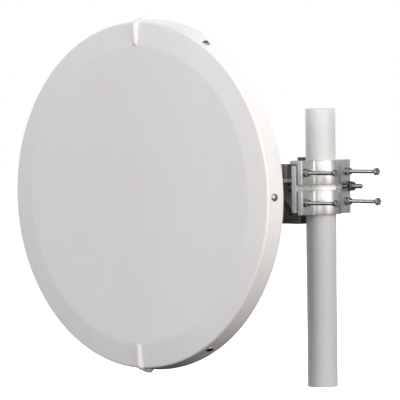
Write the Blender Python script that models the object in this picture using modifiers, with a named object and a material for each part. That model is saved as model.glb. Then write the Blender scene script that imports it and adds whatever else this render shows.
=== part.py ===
# Pole-mounted parabolic dish antenna with a flat radome.
# Metres, +Z up. The origin is the middle of the pole's flat foot.
# The dish looks along -Y and stands in front and to the left of the pole.

import math

import bmesh
import bpy
from mathutils import Matrix, Vector

# Clearance between two pieces that touch
GAP = 0.0003

# How far solids that are fused run into each other, a step that keeps their faces
# from lying in one plane, and how far a cutter sticks out
OVERLAP = 0.0005
FACE_STEP = 0.0002
CUT_SPARE = 0.005

# Pole: a 60.3 mm steel tube, closed with a plug at both ends
AXIS_HEIGHT = 0.390
POLE_RADIUS = 0.03015
POLE_WALL = 0.0029
POLE_TOP = AXIS_HEIGHT + 0.168
PLUG_THICKNESS = 0.012
PLUG_RECESS = 0.0015

# Dish: its axis runs along Y through this X, at AXIS_HEIGHT
DISH_X = -0.2255
FRONT_Y = -0.2941
EDGE_RADIUS = 0.345
SKIRT_RADIUS = 0.3498
SKIRT_DEPTH = 0.0389
FACE_RADIUS = 0.296
FACE_RISE = 0.004
FACE_DISHING = 0.0015
EDGE_ROUNDING = 0.0045
RADOME_WALL = 0.003
TURN_STEPS = 72

# Moulded rib at the top and the bottom of the radome. Its crest lies RIB_FRONT
# before the dish's front edge, turns back over the edge and ends on the skirt.
RIB_WIDTH = 0.017
RIB_FRONT = 0.0095
RIB_RUN_IN = 0.005
RIB_PROUD = 0.0055
RIB_CORNER = 0.012
RIB_CREST = ((0.013, 0.3540), (0.026, 0.3550))

# Reflector: spun aluminium bowl with a flat hub zone and a lip turned back
BOWL_WALL = 0.0025
BOWL_RADIUS = 0.3365
BOWL_APERTURE_Y = 0.0105
BOWL_DEPTH = 0.122
HUB_FLAT_RADIUS = 0.100
HUB_HOLE_RADIUS = 0.0303
LIP_END_Y = 0.036

# Six screws hold the radome's skirt to the reflector's lip
RIM_SCREWS = 6
RIM_SCREW_Y = 0.0155
RIM_SCREW_HEAD = 0.0055
RIM_SCREW_DOME = 0.0033
RIM_SCREW_SHANK = 0.003
RIM_SCREW_LENGTH = 0.0068

# Hub plate and its four bolts
HUB_PLATE_RADIUS = 0.095
HUB_PLATE_THICKNESS = 0.008
HUB_BOLT_X = 0.070
HUB_BOLT_Z = 0.040

# Feed port: circular waveguide piece with a dust cap behind
PORT_TUBE_RADIUS = 0.030
PORT_FLANGE_RADIUS = 0.040
PORT_FLANGE_THICKNESS = 0.012
PORT_TUBE_FORWARD = 0.020
PORT_CAP_RADIUS = 0.034
PORT_CAP_HEIGHT = 0.010

# Pole clamp
CLAMP_HEIGHT = 0.048
CLAMP_SPACE = 0.012
CLAMP_MIDDLE = AXIS_HEIGHT + 0.0104
JAW_FRONT = 0.0025
JAW_FLANGE = 0.012
JAW_HALF_WIDTH = 0.075
JAW_OUTER_RADIUS = 0.040
JAW_BORE = POLE_RADIUS + GAP
REAR_JAW_FACE = -0.001
REAR_JAW_BOTTOM = AXIS_HEIGHT - 0.0395
REAR_JAW_TOP = AXIS_HEIGHT + 0.0542
EAR_INNER = 0.060
EAR_OUTER = 0.088
EAR_HALF_HEIGHT = 0.012

# Clamp bolts, M8, screwed into the rear jaw from the far side
CLAMP_BOLT_Y = 0.064
CLAMP_BOLT_HEAD_X = 0.0893
CLAMP_BOLT_TIP_X = -0.016

# Azimuth hinge: vertical M10 bolt behind the pole
HINGE_X = -0.050
HINGE_BOSS = 0.013
LUG_RADIUS = 0.024
LUG_TRIM_X = -0.0355
LUG_BOTTOM = REAR_JAW_TOP + GAP
LUG_TOP = AXIS_HEIGHT + 0.063

# Azimuth yoke casting
WEB_OUTER_X = -0.088
WEB_INNER_X = -0.080
WEB_HALF_WIDTH = 0.045
YOKE_BOTTOM = AXIS_HEIGHT - 0.0642
YOKE_TOP = AXIS_HEIGHT + 0.0564
BLOCK_INNER_X = -0.0685
BLOCK_HALF_WIDTH = 0.027
BLOCK_BOTTOM = AXIS_HEIGHT + 0.0274
LOWER_LUG_TOP = AXIS_HEIGHT - 0.049
LOWER_LUG_HALF_WIDTH = 0.025
LEVER_BOTTOM = AXIS_HEIGHT + 0.0183
LEVER_TOP = AXIS_HEIGHT + 0.0258
LEVER_END_RADIUS = 0.012
WEB_RIB_WIDTH = 0.006
WEB_RIB_DEPTH = 0.007
WEB_RIB_ENDS = ((0.004, -0.045), (-0.028, -0.012))
LEVER_ROOT_Y = 0.020

# Azimuth adjuster: M10 eye bolt that pulls on the yoke's lever
STUD_Y = 0.073
STUD_Z = CLAMP_MIDDLE
STUD_RADIUS = 0.005
STUD_TIP_X = 0.0455
STUD_PLAY = 0.001
EYE_RADIUS = 0.011
EYE_HALF_HEIGHT = 0.005
PIN_RADIUS = 0.004
PIN_COLLAR_RADIUS = 0.0075
PIN_COLLAR_HEIGHT = 0.004

# Elevation pivot and its lock bolt, both along X
PIVOT_Y = 0.0
PIVOT_Z = AXIS_HEIGHT + 0.008
LOCK_Y = 0.022
LOCK_Z = AXIS_HEIGHT - 0.038
ELEVATION_LIMIT = math.radians(8.0)
SLOT_SPARE = math.radians(1.0)

# Dish bracket, bent from 6 mm steel plate
SHEET = 0.006
BRACKET_TOP = AXIS_HEIGHT + 0.054
BRACKET_BOTTOM = AXIS_HEIGHT - 0.060
BRACKET_REAR_Y = 0.040
BRACKET_LEFT_X = -0.335
BRACKET_HOLE_RADIUS = 0.046
BRACKET_CORNER = 0.015
GUSSET_REAR_Y = 0.012
GUSSET_REAR_LENGTH = 0.030
GUSSET_LEFT_X = BRACKET_LEFT_X + 0.020
GUSSET_LEFT_DEPTH = 0.012

# Hexagon sizes: half the width across corners, head height, nut height
M8 = {"radius": 0.004, "corner": 0.0075, "head": 0.0053, "nut": 0.0065, "washer": 0.008}
M10 = {"radius": 0.005, "corner": 0.0098, "head": 0.0064, "nut": 0.008, "washer": 0.010}
WASHER_THICKNESS = 0.0016
HOLE_PLAY = 0.0003
FREE_HOLE_PLAY = 0.0005
BOLT_TIP = 0.003

# Places worked out from the sizes above
BOWL_REAR_Y = FRONT_Y + BOWL_APERTURE_Y + BOWL_DEPTH + BOWL_WALL
HUB_PLATE_Y = BOWL_REAR_Y + GAP
BACK_PLATE_Y = HUB_PLATE_Y + HUB_PLATE_THICKNESS + GAP
SIDE_PLATE_X = WEB_OUTER_X - GAP
FLANGE_FACE_X = JAW_FRONT + JAW_FLANGE

COLOURS = {
    "radome": ((0.72, 0.72, 0.70), 0.45, 0.0),
    "aluminium": ((0.62, 0.62, 0.61), 0.35, 0.9),
    "casting": ((0.14, 0.14, 0.13), 0.6, 0.3),
    "plate": ((0.20, 0.20, 0.20), 0.55, 0.5),
    "stainless": ((0.55, 0.54, 0.52), 0.3, 1.0),
    "dark_steel": ((0.09, 0.08, 0.08), 0.4, 0.9),
    "pole": ((0.75, 0.76, 0.78), 0.4, 0.0),
    "plug": ((0.30, 0.30, 0.31), 0.6, 0.0),
}


def clear_scene():
    for item in list(bpy.data.objects):
        bpy.data.objects.remove(item, do_unlink=True)


def new_collection(name):
    collection = bpy.data.collections.new(name)
    bpy.context.scene.collection.children.link(collection)
    return collection


def paint(item, finish):
    colour, roughness, metallic = COLOURS[finish]
    material = bpy.data.materials.new(item.name + "_finish")
    material.use_nodes = True
    shader = material.node_tree.nodes["Principled BSDF"]
    shader.inputs["Base Color"].default_value = (*colour, 1.0)
    shader.inputs["Roughness"].default_value = roughness
    shader.inputs["Metallic"].default_value = metallic
    item.data.materials.clear()
    item.data.materials.append(material)


def mesh_object(name, form, collection):
    mesh = bpy.data.meshes.new(name)
    form.to_mesh(mesh)
    form.free()
    item = bpy.data.objects.new(name, mesh)
    collection.objects.link(item)
    return item


def box(name, low, high, collection):
    form = bmesh.new()
    low, high = Vector(low), Vector(high)
    size = Matrix.Diagonal((*(high - low), 1.0))
    bmesh.ops.create_cube(form, size=1.0, matrix=Matrix.Translation((low + high) / 2) @ size)
    return mesh_object(name, form, collection)


AXIS_TURN = {
    "x": Matrix.Rotation(math.pi / 2, 4, "Y"),
    "y": Matrix.Rotation(-math.pi / 2, 4, "X"),
    "z": Matrix.Identity(4),
}


def cylinder(name, start, length, radius, axis, collection, steps=32):
    # Starts at the point given and runs along the named axis
    form = bmesh.new()
    place = Matrix.Translation(start) @ AXIS_TURN[axis] @ Matrix.Translation((0, 0, length / 2))
    bmesh.ops.create_cone(form, cap_ends=True, segments=steps, radius1=radius, radius2=radius,
                          depth=length, matrix=place)
    return mesh_object(name, form, collection)


def arc(centre, radius, first, last, steps):
    # Points on a circle, angles in degrees
    points = []
    for i in range(steps + 1):
        angle = math.radians(first + (last - first) * i / steps)
        points.append((centre[0] + radius * math.cos(angle), centre[1] + radius * math.sin(angle)))
    return points


def outline_solid(name, points, thickness, place, collection):
    # A flat outline with a thickness, centred on its plane, then put in place
    curve = bpy.data.curves.new(name + "_outline", "CURVE")
    curve.dimensions = "2D"
    curve.fill_mode = "BOTH"
    curve.extrude = thickness / 2
    spline = curve.splines.new("POLY")
    spline.points.add(len(points) - 1)
    for point, (x, y) in zip(spline.points, points):
        point.co = (x, y, 0.0, 1.0)
    spline.use_cyclic_u = True
    flat = bpy.data.objects.new(name + "_outline", curve)
    collection.objects.link(flat)
    bpy.context.view_layer.update()
    evaluated = flat.evaluated_get(bpy.context.evaluated_depsgraph_get())
    mesh = bpy.data.meshes.new_from_object(evaluated)
    mesh.name = name
    bpy.data.objects.remove(flat, do_unlink=True)
    form = bmesh.new()
    form.from_mesh(mesh)
    bmesh.ops.remove_doubles(form, verts=form.verts, dist=0.00001)
    bmesh.ops.transform(form, matrix=place, verts=form.verts)
    bmesh.ops.recalc_face_normals(form, faces=form.faces)
    form.to_mesh(mesh)
    form.free()
    item = bpy.data.objects.new(name, mesh)
    collection.objects.link(item)
    return item


def flat_on_z(bottom, top):
    return Matrix.Translation((0, 0, (bottom + top) / 2))


def turned(name, profile, collection, closed=True, steps=TURN_STEPS):
    # A profile of (radius, height) points, turned about Z
    mesh = bpy.data.meshes.new(name)
    count = len(profile)
    edges = [(i, i + 1) for i in range(count - 1)]
    if closed:
        edges.append((count - 1, 0))
    mesh.from_pydata([(r, 0.0, h) for r, h in profile], edges, [])
    item = bpy.data.objects.new(name, mesh)
    collection.objects.link(item)
    screw = item.modifiers.new("turn", "SCREW")
    screw.axis = "Z"
    screw.steps = steps
    screw.render_steps = steps
    screw.use_merge_vertices = True
    screw.merge_threshold = 0.00005
    screw.use_smooth_shade = True
    return item


def baked(item):
    # The object's evaluated mesh takes the place of its modifiers
    bpy.context.view_layer.update()
    evaluated = item.evaluated_get(bpy.context.evaluated_depsgraph_get())
    mesh = bpy.data.meshes.new_from_object(evaluated)
    old = item.data
    item.modifiers.clear()
    item.data = mesh
    mesh.name = item.name
    bpy.data.meshes.remove(old)
    return item


def hide_tool(item, tools):
    for collection in list(item.users_collection):
        collection.objects.unlink(item)
    tools.objects.link(item)
    item.hide_render = True
    item.display_type = "WIRE"


def combine(item, others, operation, tools):
    for other in others:
        hide_tool(other, tools)
        step = item.modifiers.new(other.name, "BOOLEAN")
        step.operation = operation
        step.solver = "EXACT"
        step.object = other


def smooth(item, degrees=35.0):
    item.data.shade_smooth()
    item.data.set_sharp_from_angle(angle=math.radians(degrees))


def under(item, parent):
    item.parent = parent
    item.matrix_parent_inverse = parent.matrix_world.inverted()


def joint_empty(name, place, collection):
    empty = bpy.data.objects.new(name, None)
    empty.location = place
    empty.empty_display_size = 0.05
    collection.objects.link(empty)
    bpy.context.view_layer.update()
    return empty


def make_bolt_mesh(name, size, length, parts, tools):
    # Head from z = 0 upwards, shank from z = 0 downwards, as one closed body
    item = cylinder(name, (0, 0, 0), size["head"], size["corner"], "z", parts, 6)
    shank = cylinder(name + "_shank", (0, 0, -length), length + size["head"] / 2, size["radius"],
                     "z", parts, 20)
    combine(item, [shank], "UNION", tools)
    baked(item)
    smooth(item)
    mesh = item.data
    bpy.data.objects.remove(item, do_unlink=True)
    bpy.data.objects.remove(shank, do_unlink=True)
    return mesh


def make_nut_mesh(name, size, play, parts, tools):
    # Washer from z = 0 upwards, hexagon on top of it, bored through
    item = cylinder(name, (0, 0, WASHER_THICKNESS), size["nut"], size["corner"], "z", parts, 6)
    disc = cylinder(name + "_washer", (0, 0, 0), WASHER_THICKNESS + OVERLAP, size["washer"], "z",
                    parts, 28)
    bore = cylinder(name + "_bore", (0, 0, -CUT_SPARE), WASHER_THICKNESS + size["nut"]
                    + 2 * CUT_SPARE, size["radius"] + play, "z", parts, 20)
    combine(item, [disc], "UNION", tools)
    combine(item, [bore], "DIFFERENCE", tools)
    baked(item)
    smooth(item)
    mesh = item.data
    for used in (item, disc, bore):
        bpy.data.objects.remove(used, do_unlink=True)
    return mesh


TO_PLUS_X = AXIS_TURN["x"]
TO_MINUS_X = Matrix.Rotation(-math.pi / 2, 4, "Y")
TO_PLUS_Y = AXIS_TURN["y"]
TO_PLUS_Z = Matrix.Identity(4)


def place_copy(name, mesh, finish, place, turn, collection, parent=None):
    item = bpy.data.objects.new(name, mesh.copy())
    item.location = place
    item.rotation_euler = turn.to_euler()
    collection.objects.link(item)
    paint(item, finish)
    if parent is not None:
        under(item, parent)
    return item


def make_pole(parts):
    inner = POLE_RADIUS - POLE_WALL
    profile = [(POLE_RADIUS, POLE_TOP), (POLE_RADIUS, 0.0), (inner, 0.0), (inner, POLE_TOP)]
    pole = baked(turned("pole", profile, parts, steps=64))
    smooth(pole)
    paint(pole, "pole")
    plug_radius = inner - GAP
    foot = cylinder("pole_foot_plug", (0, 0, 0), PLUG_THICKNESS, plug_radius, "z", parts, 48)
    top_start = POLE_TOP - PLUG_RECESS - PLUG_THICKNESS
    top = cylinder("pole_top_plug", (0, 0, top_start), PLUG_THICKNESS, plug_radius, "z", parts, 48)
    for plug in (foot, top):
        smooth(plug)
        paint(plug, "plug")


def half_jaw_outline(sign, face):
    # Plan of a clamp half on the side of the pole that sign gives, as X and Y
    back = face + JAW_FLANGE
    inner_angle = math.degrees(math.asin(face / JAW_BORE))
    outer_angle = math.degrees(math.asin(back / JAW_OUTER_RADIUS))
    points = [(face, -JAW_HALF_WIDTH), (back, -JAW_HALF_WIDTH)]
    points += arc((0, 0), JAW_OUTER_RADIUS, outer_angle - 90, 90 - outer_angle, 20)
    points += [(back, JAW_HALF_WIDTH), (face, JAW_HALF_WIDTH)]
    points += arc((0, 0), JAW_BORE, 90 - inner_angle, inner_angle - 90, 20)
    return [(sign * x, y) for x, y in points]


def clamp_levels():
    # Mid heights of the clamp's two halves and the signs that they lie at
    offset = (CLAMP_SPACE + CLAMP_HEIGHT) / 2
    return (("upper", CLAMP_MIDDLE + offset), ("lower", CLAMP_MIDDLE - offset))


def make_front_jaws(parts, tools):
    plan = half_jaw_outline(1, JAW_FRONT)
    for label, middle in clamp_levels():
        place = flat_on_z(middle - CLAMP_HEIGHT / 2, middle + CLAMP_HEIGHT / 2)
        jaw = outline_solid("front_jaw_" + label, plan, CLAMP_HEIGHT, place, parts)
        holes = []
        for end in (-1, 1):
            start = (JAW_FRONT - CUT_SPARE, end * CLAMP_BOLT_Y, middle)
            holes.append(cylinder(f"{jaw.name}_hole_{end}", start, JAW_FLANGE + 2 * CUT_SPARE,
                                  M8["radius"] + FREE_HOLE_PLAY, "x", parts, 24))
        combine(jaw, holes, "DIFFERENCE", tools)
        baked(jaw)
        smooth(jaw, 30)
        paint(jaw, "aluminium")


def make_rear_jaw(parts, tools):
    height = REAR_JAW_TOP - REAR_JAW_BOTTOM
    plan = half_jaw_outline(-1, -REAR_JAW_FACE)
    place = flat_on_z(REAR_JAW_BOTTOM, REAR_JAW_TOP)
    jaw = outline_solid("rear_jaw", plan, height, place, parts)
    boss_root = -(JAW_BORE + JAW_OUTER_RADIUS) / 2
    boss_plan = [(boss_root, -HINGE_BOSS), (boss_root, HINGE_BOSS)]
    boss_plan += arc((HINGE_X, 0), HINGE_BOSS, 90, 270, 16)
    boss = outline_solid("rear_jaw_boss", boss_plan, height, place, parts)
    back = REAR_JAW_FACE - JAW_FLANGE
    ear = box("rear_jaw_ear", (back, EAR_INNER, STUD_Z - EAR_HALF_HEIGHT),
              (REAR_JAW_FACE, EAR_OUTER, STUD_Z + EAR_HALF_HEIGHT), parts)
    combine(jaw, [boss, ear], "UNION", tools)
    holes = [cylinder("rear_jaw_hinge_bore", (HINGE_X, 0, REAR_JAW_BOTTOM - CUT_SPARE),
                      height + 2 * CUT_SPARE, M10["radius"] + HOLE_PLAY, "z", parts, 24)]
    depth = JAW_FLANGE + 2 * CUT_SPARE
    holes.append(cylinder("rear_jaw_stud_hole", (back - CUT_SPARE, STUD_Y, STUD_Z), depth,
                          STUD_RADIUS + STUD_PLAY, "x", parts, 24))
    for label, middle in clamp_levels():
        for end in (-1, 1):
            start = (back - CUT_SPARE, end * CLAMP_BOLT_Y, middle)
            holes.append(cylinder(f"rear_jaw_thread_{label}_{end}", start, depth,
                                  M8["radius"] + HOLE_PLAY, "x", parts, 24))
    combine(jaw, holes, "DIFFERENCE", tools)
    baked(jaw)
    smooth(jaw, 30)
    paint(jaw, "aluminium")


def make_clamp_bolts(parts, tools):
    length = CLAMP_BOLT_HEAD_X - CLAMP_BOLT_TIP_X
    bolt = make_bolt_mesh("clamp_bolt", M8, length, parts, tools)
    nut = make_nut_mesh("clamp_nut", M8, HOLE_PLAY, parts, tools)
    for label, middle in clamp_levels():
        for hand, end in (("left", -1), ("right", 1)):
            place_copy(f"clamp_bolt_{label}_{hand}", bolt, "stainless",
                       (CLAMP_BOLT_HEAD_X, end * CLAMP_BOLT_Y, middle), TO_PLUS_X, parts)
            place_copy(f"clamp_nut_{label}_{hand}", nut, "stainless",
                       (FLANGE_FACE_X + GAP, end * CLAMP_BOLT_Y, middle), TO_PLUS_X, parts)


def make_adjuster(parts, tools, yoke_axis, link_axis):
    # Eye bolt, and the two nuts that lock it to the clamp
    shaft_start = HINGE_X + (EYE_RADIUS + PIN_RADIUS) / 2
    eye = cylinder("azimuth_eye_bolt", (HINGE_X, STUD_Y, STUD_Z - EYE_HALF_HEIGHT),
                   2 * EYE_HALF_HEIGHT, EYE_RADIUS, "z", parts, 28)
    shaft = cylinder("azimuth_eye_shaft", (shaft_start, STUD_Y, STUD_Z),
                     STUD_TIP_X - shaft_start, STUD_RADIUS, "x", parts, 20)
    combine(eye, [shaft], "UNION", tools)
    bore = cylinder("azimuth_eye_bore",
                    (HINGE_X, STUD_Y, STUD_Z - EYE_HALF_HEIGHT - CUT_SPARE),
                    2 * (EYE_HALF_HEIGHT + CUT_SPARE), PIN_RADIUS + HOLE_PLAY, "z", parts, 24)
    combine(eye, [bore], "DIFFERENCE", tools)
    baked(eye)
    smooth(eye)
    paint(eye, "dark_steel")
    under(eye, link_axis)
    nut = make_nut_mesh("azimuth_nut", M10, STUD_PLAY, parts, tools)
    place_copy("azimuth_nut_front", nut, "dark_steel",
               (FLANGE_FACE_X + GAP, STUD_Y, STUD_Z), TO_PLUS_X, parts)
    place_copy("azimuth_nut_rear", nut, "dark_steel",
               (REAR_JAW_FACE - JAW_FLANGE - GAP, STUD_Y, STUD_Z), TO_MINUS_X, parts)
    pin_bottom = STUD_Z - EYE_HALF_HEIGHT - GAP - PIN_COLLAR_HEIGHT
    pin = cylinder("azimuth_pin", (HINGE_X, STUD_Y, LEVER_TOP + GAP), PIN_COLLAR_HEIGHT,
                   PIN_COLLAR_RADIUS, "z", parts, 24)
    shank_bottom = pin_bottom + PIN_COLLAR_HEIGHT / 2
    shank = cylinder("azimuth_pin_shank", (HINGE_X, STUD_Y, shank_bottom),
                     LEVER_TOP + PIN_COLLAR_HEIGHT / 2 - shank_bottom, PIN_RADIUS, "z", parts, 20)
    collar = cylinder("azimuth_pin_collar", (HINGE_X, STUD_Y, pin_bottom), PIN_COLLAR_HEIGHT,
                      PIN_COLLAR_RADIUS, "z", parts, 24)
    combine(pin, [shank, collar], "UNION", tools)
    baked(pin)
    smooth(pin)
    paint(pin, "stainless")
    under(pin, yoke_axis)


def lug_plan(half_width, radius, root_x):
    # A lug round the hinge, cut flat on the side of the pole
    trim_angle = math.degrees(math.acos((LUG_TRIM_X - HINGE_X) / radius))
    points = arc((HINGE_X, 0), radius, trim_angle, 90, 8)
    points += [(root_x, half_width), (root_x, -half_width)]
    points += arc((HINGE_X, 0), radius, -90, -trim_angle, 8)
    return points


def round_lug_plan(radius):
    trim_angle = math.degrees(math.acos((LUG_TRIM_X - HINGE_X) / radius))
    return arc((HINGE_X, 0), radius, trim_angle, 360 - trim_angle, 32)


def lever_plan():
    pin = (HINGE_X, STUD_Y)
    points = [(WEB_INNER_X - OVERLAP, -BLOCK_HALF_WIDTH), (BLOCK_INNER_X, -BLOCK_HALF_WIDTH)]
    points += [(BLOCK_INNER_X, LEVER_ROOT_Y)]
    points += arc(pin, LEVER_END_RADIUS, -35, 145, 16)
    points += [(WEB_INNER_X - OVERLAP, WEB_HALF_WIDTH)]
    return points


def make_yoke(parts, tools, yoke_axis):
    yoke = box("azimuth_yoke", (WEB_OUTER_X, -WEB_HALF_WIDTH, YOKE_BOTTOM),
               (WEB_INNER_X, WEB_HALF_WIDTH, YOKE_TOP), parts)
    block = box("yoke_block", (WEB_INNER_X - OVERLAP, -BLOCK_HALF_WIDTH, BLOCK_BOTTOM),
                (BLOCK_INNER_X, BLOCK_HALF_WIDTH, YOKE_TOP - FACE_STEP), parts)
    upper = outline_solid("yoke_upper_lug", round_lug_plan(LUG_RADIUS), LUG_TOP - LUG_BOTTOM,
                          flat_on_z(LUG_BOTTOM, LUG_TOP), parts)
    lower = outline_solid("yoke_lower_lug",
                          lug_plan(LOWER_LUG_HALF_WIDTH, LOWER_LUG_HALF_WIDTH,
                                   WEB_INNER_X - OVERLAP),
                          LOWER_LUG_TOP - YOKE_BOTTOM - FACE_STEP,
                          flat_on_z(YOKE_BOTTOM + FACE_STEP, LOWER_LUG_TOP), parts)
    boss_bottom = LOWER_LUG_TOP - OVERLAP
    boss = cylinder("yoke_lower_boss", (HINGE_X, 0, boss_bottom),
                    REAR_JAW_BOTTOM - GAP - boss_bottom, HINGE_BOSS, "z", parts, 32)
    lever = outline_solid("yoke_lever", lever_plan(), LEVER_TOP - LEVER_BOTTOM,
                          flat_on_z(LEVER_BOTTOM, LEVER_TOP), parts)
    seat_bottom = STUD_Z + EYE_HALF_HEIGHT + GAP
    seat = cylinder("yoke_pin_seat", (HINGE_X, STUD_Y, seat_bottom),
                    LEVER_BOTTOM + OVERLAP - seat_bottom, EYE_RADIUS, "z", parts, 28)
    rib_low, rib_high = (Vector((0, y, z)) for y, z in WEB_RIB_ENDS)
    run = rib_high - rib_low
    lean = math.atan2(run.z, run.y)
    rib = box("yoke_rib", (WEB_INNER_X - OVERLAP, -run.length / 2, -WEB_RIB_WIDTH / 2),
              (WEB_INNER_X + WEB_RIB_DEPTH, run.length / 2, WEB_RIB_WIDTH / 2), parts)
    middle = (rib_low + rib_high) / 2 + Vector((0, 0, AXIS_HEIGHT))
    rib.data.transform(Matrix.Translation(middle) @ Matrix.Rotation(lean, 4, "X"))
    combine(yoke, [block, upper, lower, boss, lever, seat, rib], "UNION", tools)
    bore = cylinder("yoke_hinge_bore", (HINGE_X, 0, YOKE_BOTTOM - CUT_SPARE),
                    LUG_TOP - YOKE_BOTTOM + 2 * CUT_SPARE, M10["radius"] + HOLE_PLAY, "z", parts,
                    24)
    pin_hole = cylinder("yoke_pin_hole", (HINGE_X, STUD_Y, seat_bottom - CUT_SPARE),
                        LEVER_TOP - seat_bottom + 2 * CUT_SPARE, PIN_RADIUS + HOLE_PLAY, "z",
                        parts, 24)
    depth = WEB_INNER_X - WEB_OUTER_X + 2 * CUT_SPARE
    pivot = cylinder("yoke_pivot_hole", (WEB_OUTER_X - CUT_SPARE, PIVOT_Y, PIVOT_Z), depth,
                     M10["radius"] + HOLE_PLAY, "x", parts, 24)
    lock = cylinder("yoke_lock_hole", (WEB_OUTER_X - CUT_SPARE, LOCK_Y, LOCK_Z), depth,
                    M8["radius"] + HOLE_PLAY, "x", parts, 24)
    combine(yoke, [bore, pin_hole, pivot, lock], "DIFFERENCE", tools)
    baked(yoke)
    smooth(yoke, 30)
    paint(yoke, "casting")
    under(yoke, yoke_axis)


def make_yoke_fasteners(parts, tools, yoke_axis):
    hinge_length = LUG_TOP - YOKE_BOTTOM
    hinge = make_bolt_mesh("hinge_bolt", M10, hinge_length, parts, tools)
    place_copy("hinge_bolt", hinge, "dark_steel", (HINGE_X, 0, LUG_TOP + GAP), TO_PLUS_Z,
               parts, yoke_axis)
    for name, size, y, z in (("elevation_pivot", M10, PIVOT_Y, PIVOT_Z),
                             ("elevation_lock", M8, LOCK_Y, LOCK_Z)):
        nut_x = SIDE_PLATE_X - SHEET - GAP
        head_x = WEB_INNER_X + GAP
        tip_x = nut_x - WASHER_THICKNESS - size["nut"] - BOLT_TIP
        bolt = make_bolt_mesh(name + "_bolt", size, head_x - tip_x, parts, tools)
        place_copy(name + "_bolt", bolt, "stainless", (head_x, y, z), TO_PLUS_X, parts, yoke_axis)
        nut = make_nut_mesh(name + "_nut", size, HOLE_PLAY, parts, tools)
        place_copy(name + "_nut", nut, "stainless", (nut_x, y, z), TO_MINUS_X, parts, yoke_axis)


def slot_outline(centre, radius, middle, half_sweep, half_width, steps=12):
    # An arc-shaped slot about centre, angles in radians
    first, last = math.degrees(middle - half_sweep), math.degrees(middle + half_sweep)
    points = arc(centre, radius + half_width, first, last, steps)
    end = (centre[0] + radius * math.cos(math.radians(last)),
           centre[1] + radius * math.sin(math.radians(last)))
    points += arc(end, half_width, last + 15, last + 165, 8)
    points += arc(centre, radius - half_width, last, first, steps)
    start = (centre[0] + radius * math.cos(math.radians(first)),
             centre[1] + radius * math.sin(math.radians(first)))
    points += arc(start, half_width, first + 195, first + 345, 8)
    return points


def make_bracket(parts, tools, dish_axis):
    corner = BRACKET_CORNER
    side_points = [(BACK_PLATE_Y, BRACKET_BOTTOM), (BRACKET_REAR_Y - corner, BRACKET_BOTTOM)]
    side_points += arc((BRACKET_REAR_Y - corner, BRACKET_BOTTOM + corner), corner, -80, -10, 6)
    side_points += arc((BRACKET_REAR_Y - corner, BRACKET_TOP - corner), corner, 10, 80, 6)
    side_points += [(BACK_PLATE_Y, BRACKET_TOP)]
    # The outline's X and Y become the world's Y and Z
    stand = Matrix(((0, 0, 1, 0), (1, 0, 0, 0), (0, 1, 0, 0), (0, 0, 0, 1)))
    side_place = Matrix.Translation((SIDE_PLATE_X - SHEET / 2, 0, 0)) @ stand
    reach = math.hypot(LOCK_Y - PIVOT_Y, LOCK_Z - PIVOT_Z)
    middle = math.atan2(LOCK_Z - PIVOT_Z, LOCK_Y - PIVOT_Y)
    slot = slot_outline((PIVOT_Y, PIVOT_Z), reach, middle, ELEVATION_LIMIT + SLOT_SPARE,
                        M8["radius"] + FREE_HOLE_PLAY)
    bracket = outline_solid("dish_bracket", side_points, SHEET, side_place, parts)
    back = box("bracket_back", (BRACKET_LEFT_X, BACK_PLATE_Y, BRACKET_BOTTOM + FACE_STEP),
               (SIDE_PLATE_X - FACE_STEP, BACK_PLATE_Y + SHEET, BRACKET_TOP - FACE_STEP), parts)
    joined = [back]
    right_x = SIDE_PLATE_X - SHEET + OVERLAP
    front_y = BACK_PLATE_Y + SHEET - OVERLAP
    gusset_plan = [(right_x, front_y), (right_x, GUSSET_REAR_Y),
                   (right_x - GUSSET_REAR_LENGTH, GUSSET_REAR_Y),
                   (GUSSET_LEFT_X, front_y + GUSSET_LEFT_DEPTH), (GUSSET_LEFT_X, front_y)]
    for label, bottom in (("top", BRACKET_TOP - SHEET - 2 * FACE_STEP),
                          ("bottom", BRACKET_BOTTOM + 2 * FACE_STEP)):
        joined.append(outline_solid("bracket_" + label, gusset_plan, SHEET,
                                    flat_on_z(bottom, bottom + SHEET), parts))
    combine(bracket, joined, "UNION", tools)
    slot_cut = outline_solid("bracket_slot", slot, SHEET * 3, side_place, parts)
    depth = SHEET + 2 * CUT_SPARE
    pivot_start = (SIDE_PLATE_X - SHEET - CUT_SPARE, PIVOT_Y, PIVOT_Z)
    pivot = cylinder("bracket_pivot_hole", pivot_start, depth, M10["radius"] + HOLE_PLAY, "x",
                     parts, 24)
    port = cylinder("bracket_port_hole", (DISH_X, BACK_PLATE_Y - CUT_SPARE, AXIS_HEIGHT), depth,
                    BRACKET_HOLE_RADIUS, "y", parts, 48)
    cuts = [slot_cut, pivot, port]
    for x, z in hub_bolt_places():
        cuts.append(cylinder(f"bracket_hub_hole_{len(cuts)}", (x, BACK_PLATE_Y - CUT_SPARE, z),
                             depth, M8["radius"] + HOLE_PLAY, "y", parts, 20))
    combine(bracket, cuts, "DIFFERENCE", tools)
    baked(bracket)
    smooth(bracket, 30)
    paint(bracket, "plate")
    under(bracket, dish_axis)


def hub_bolt_places():
    places = []
    for across in (-1, 1):
        for up in (-1, 1):
            places.append((DISH_X + across * HUB_BOLT_X, AXIS_HEIGHT + up * HUB_BOLT_Z))
    return places


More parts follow.
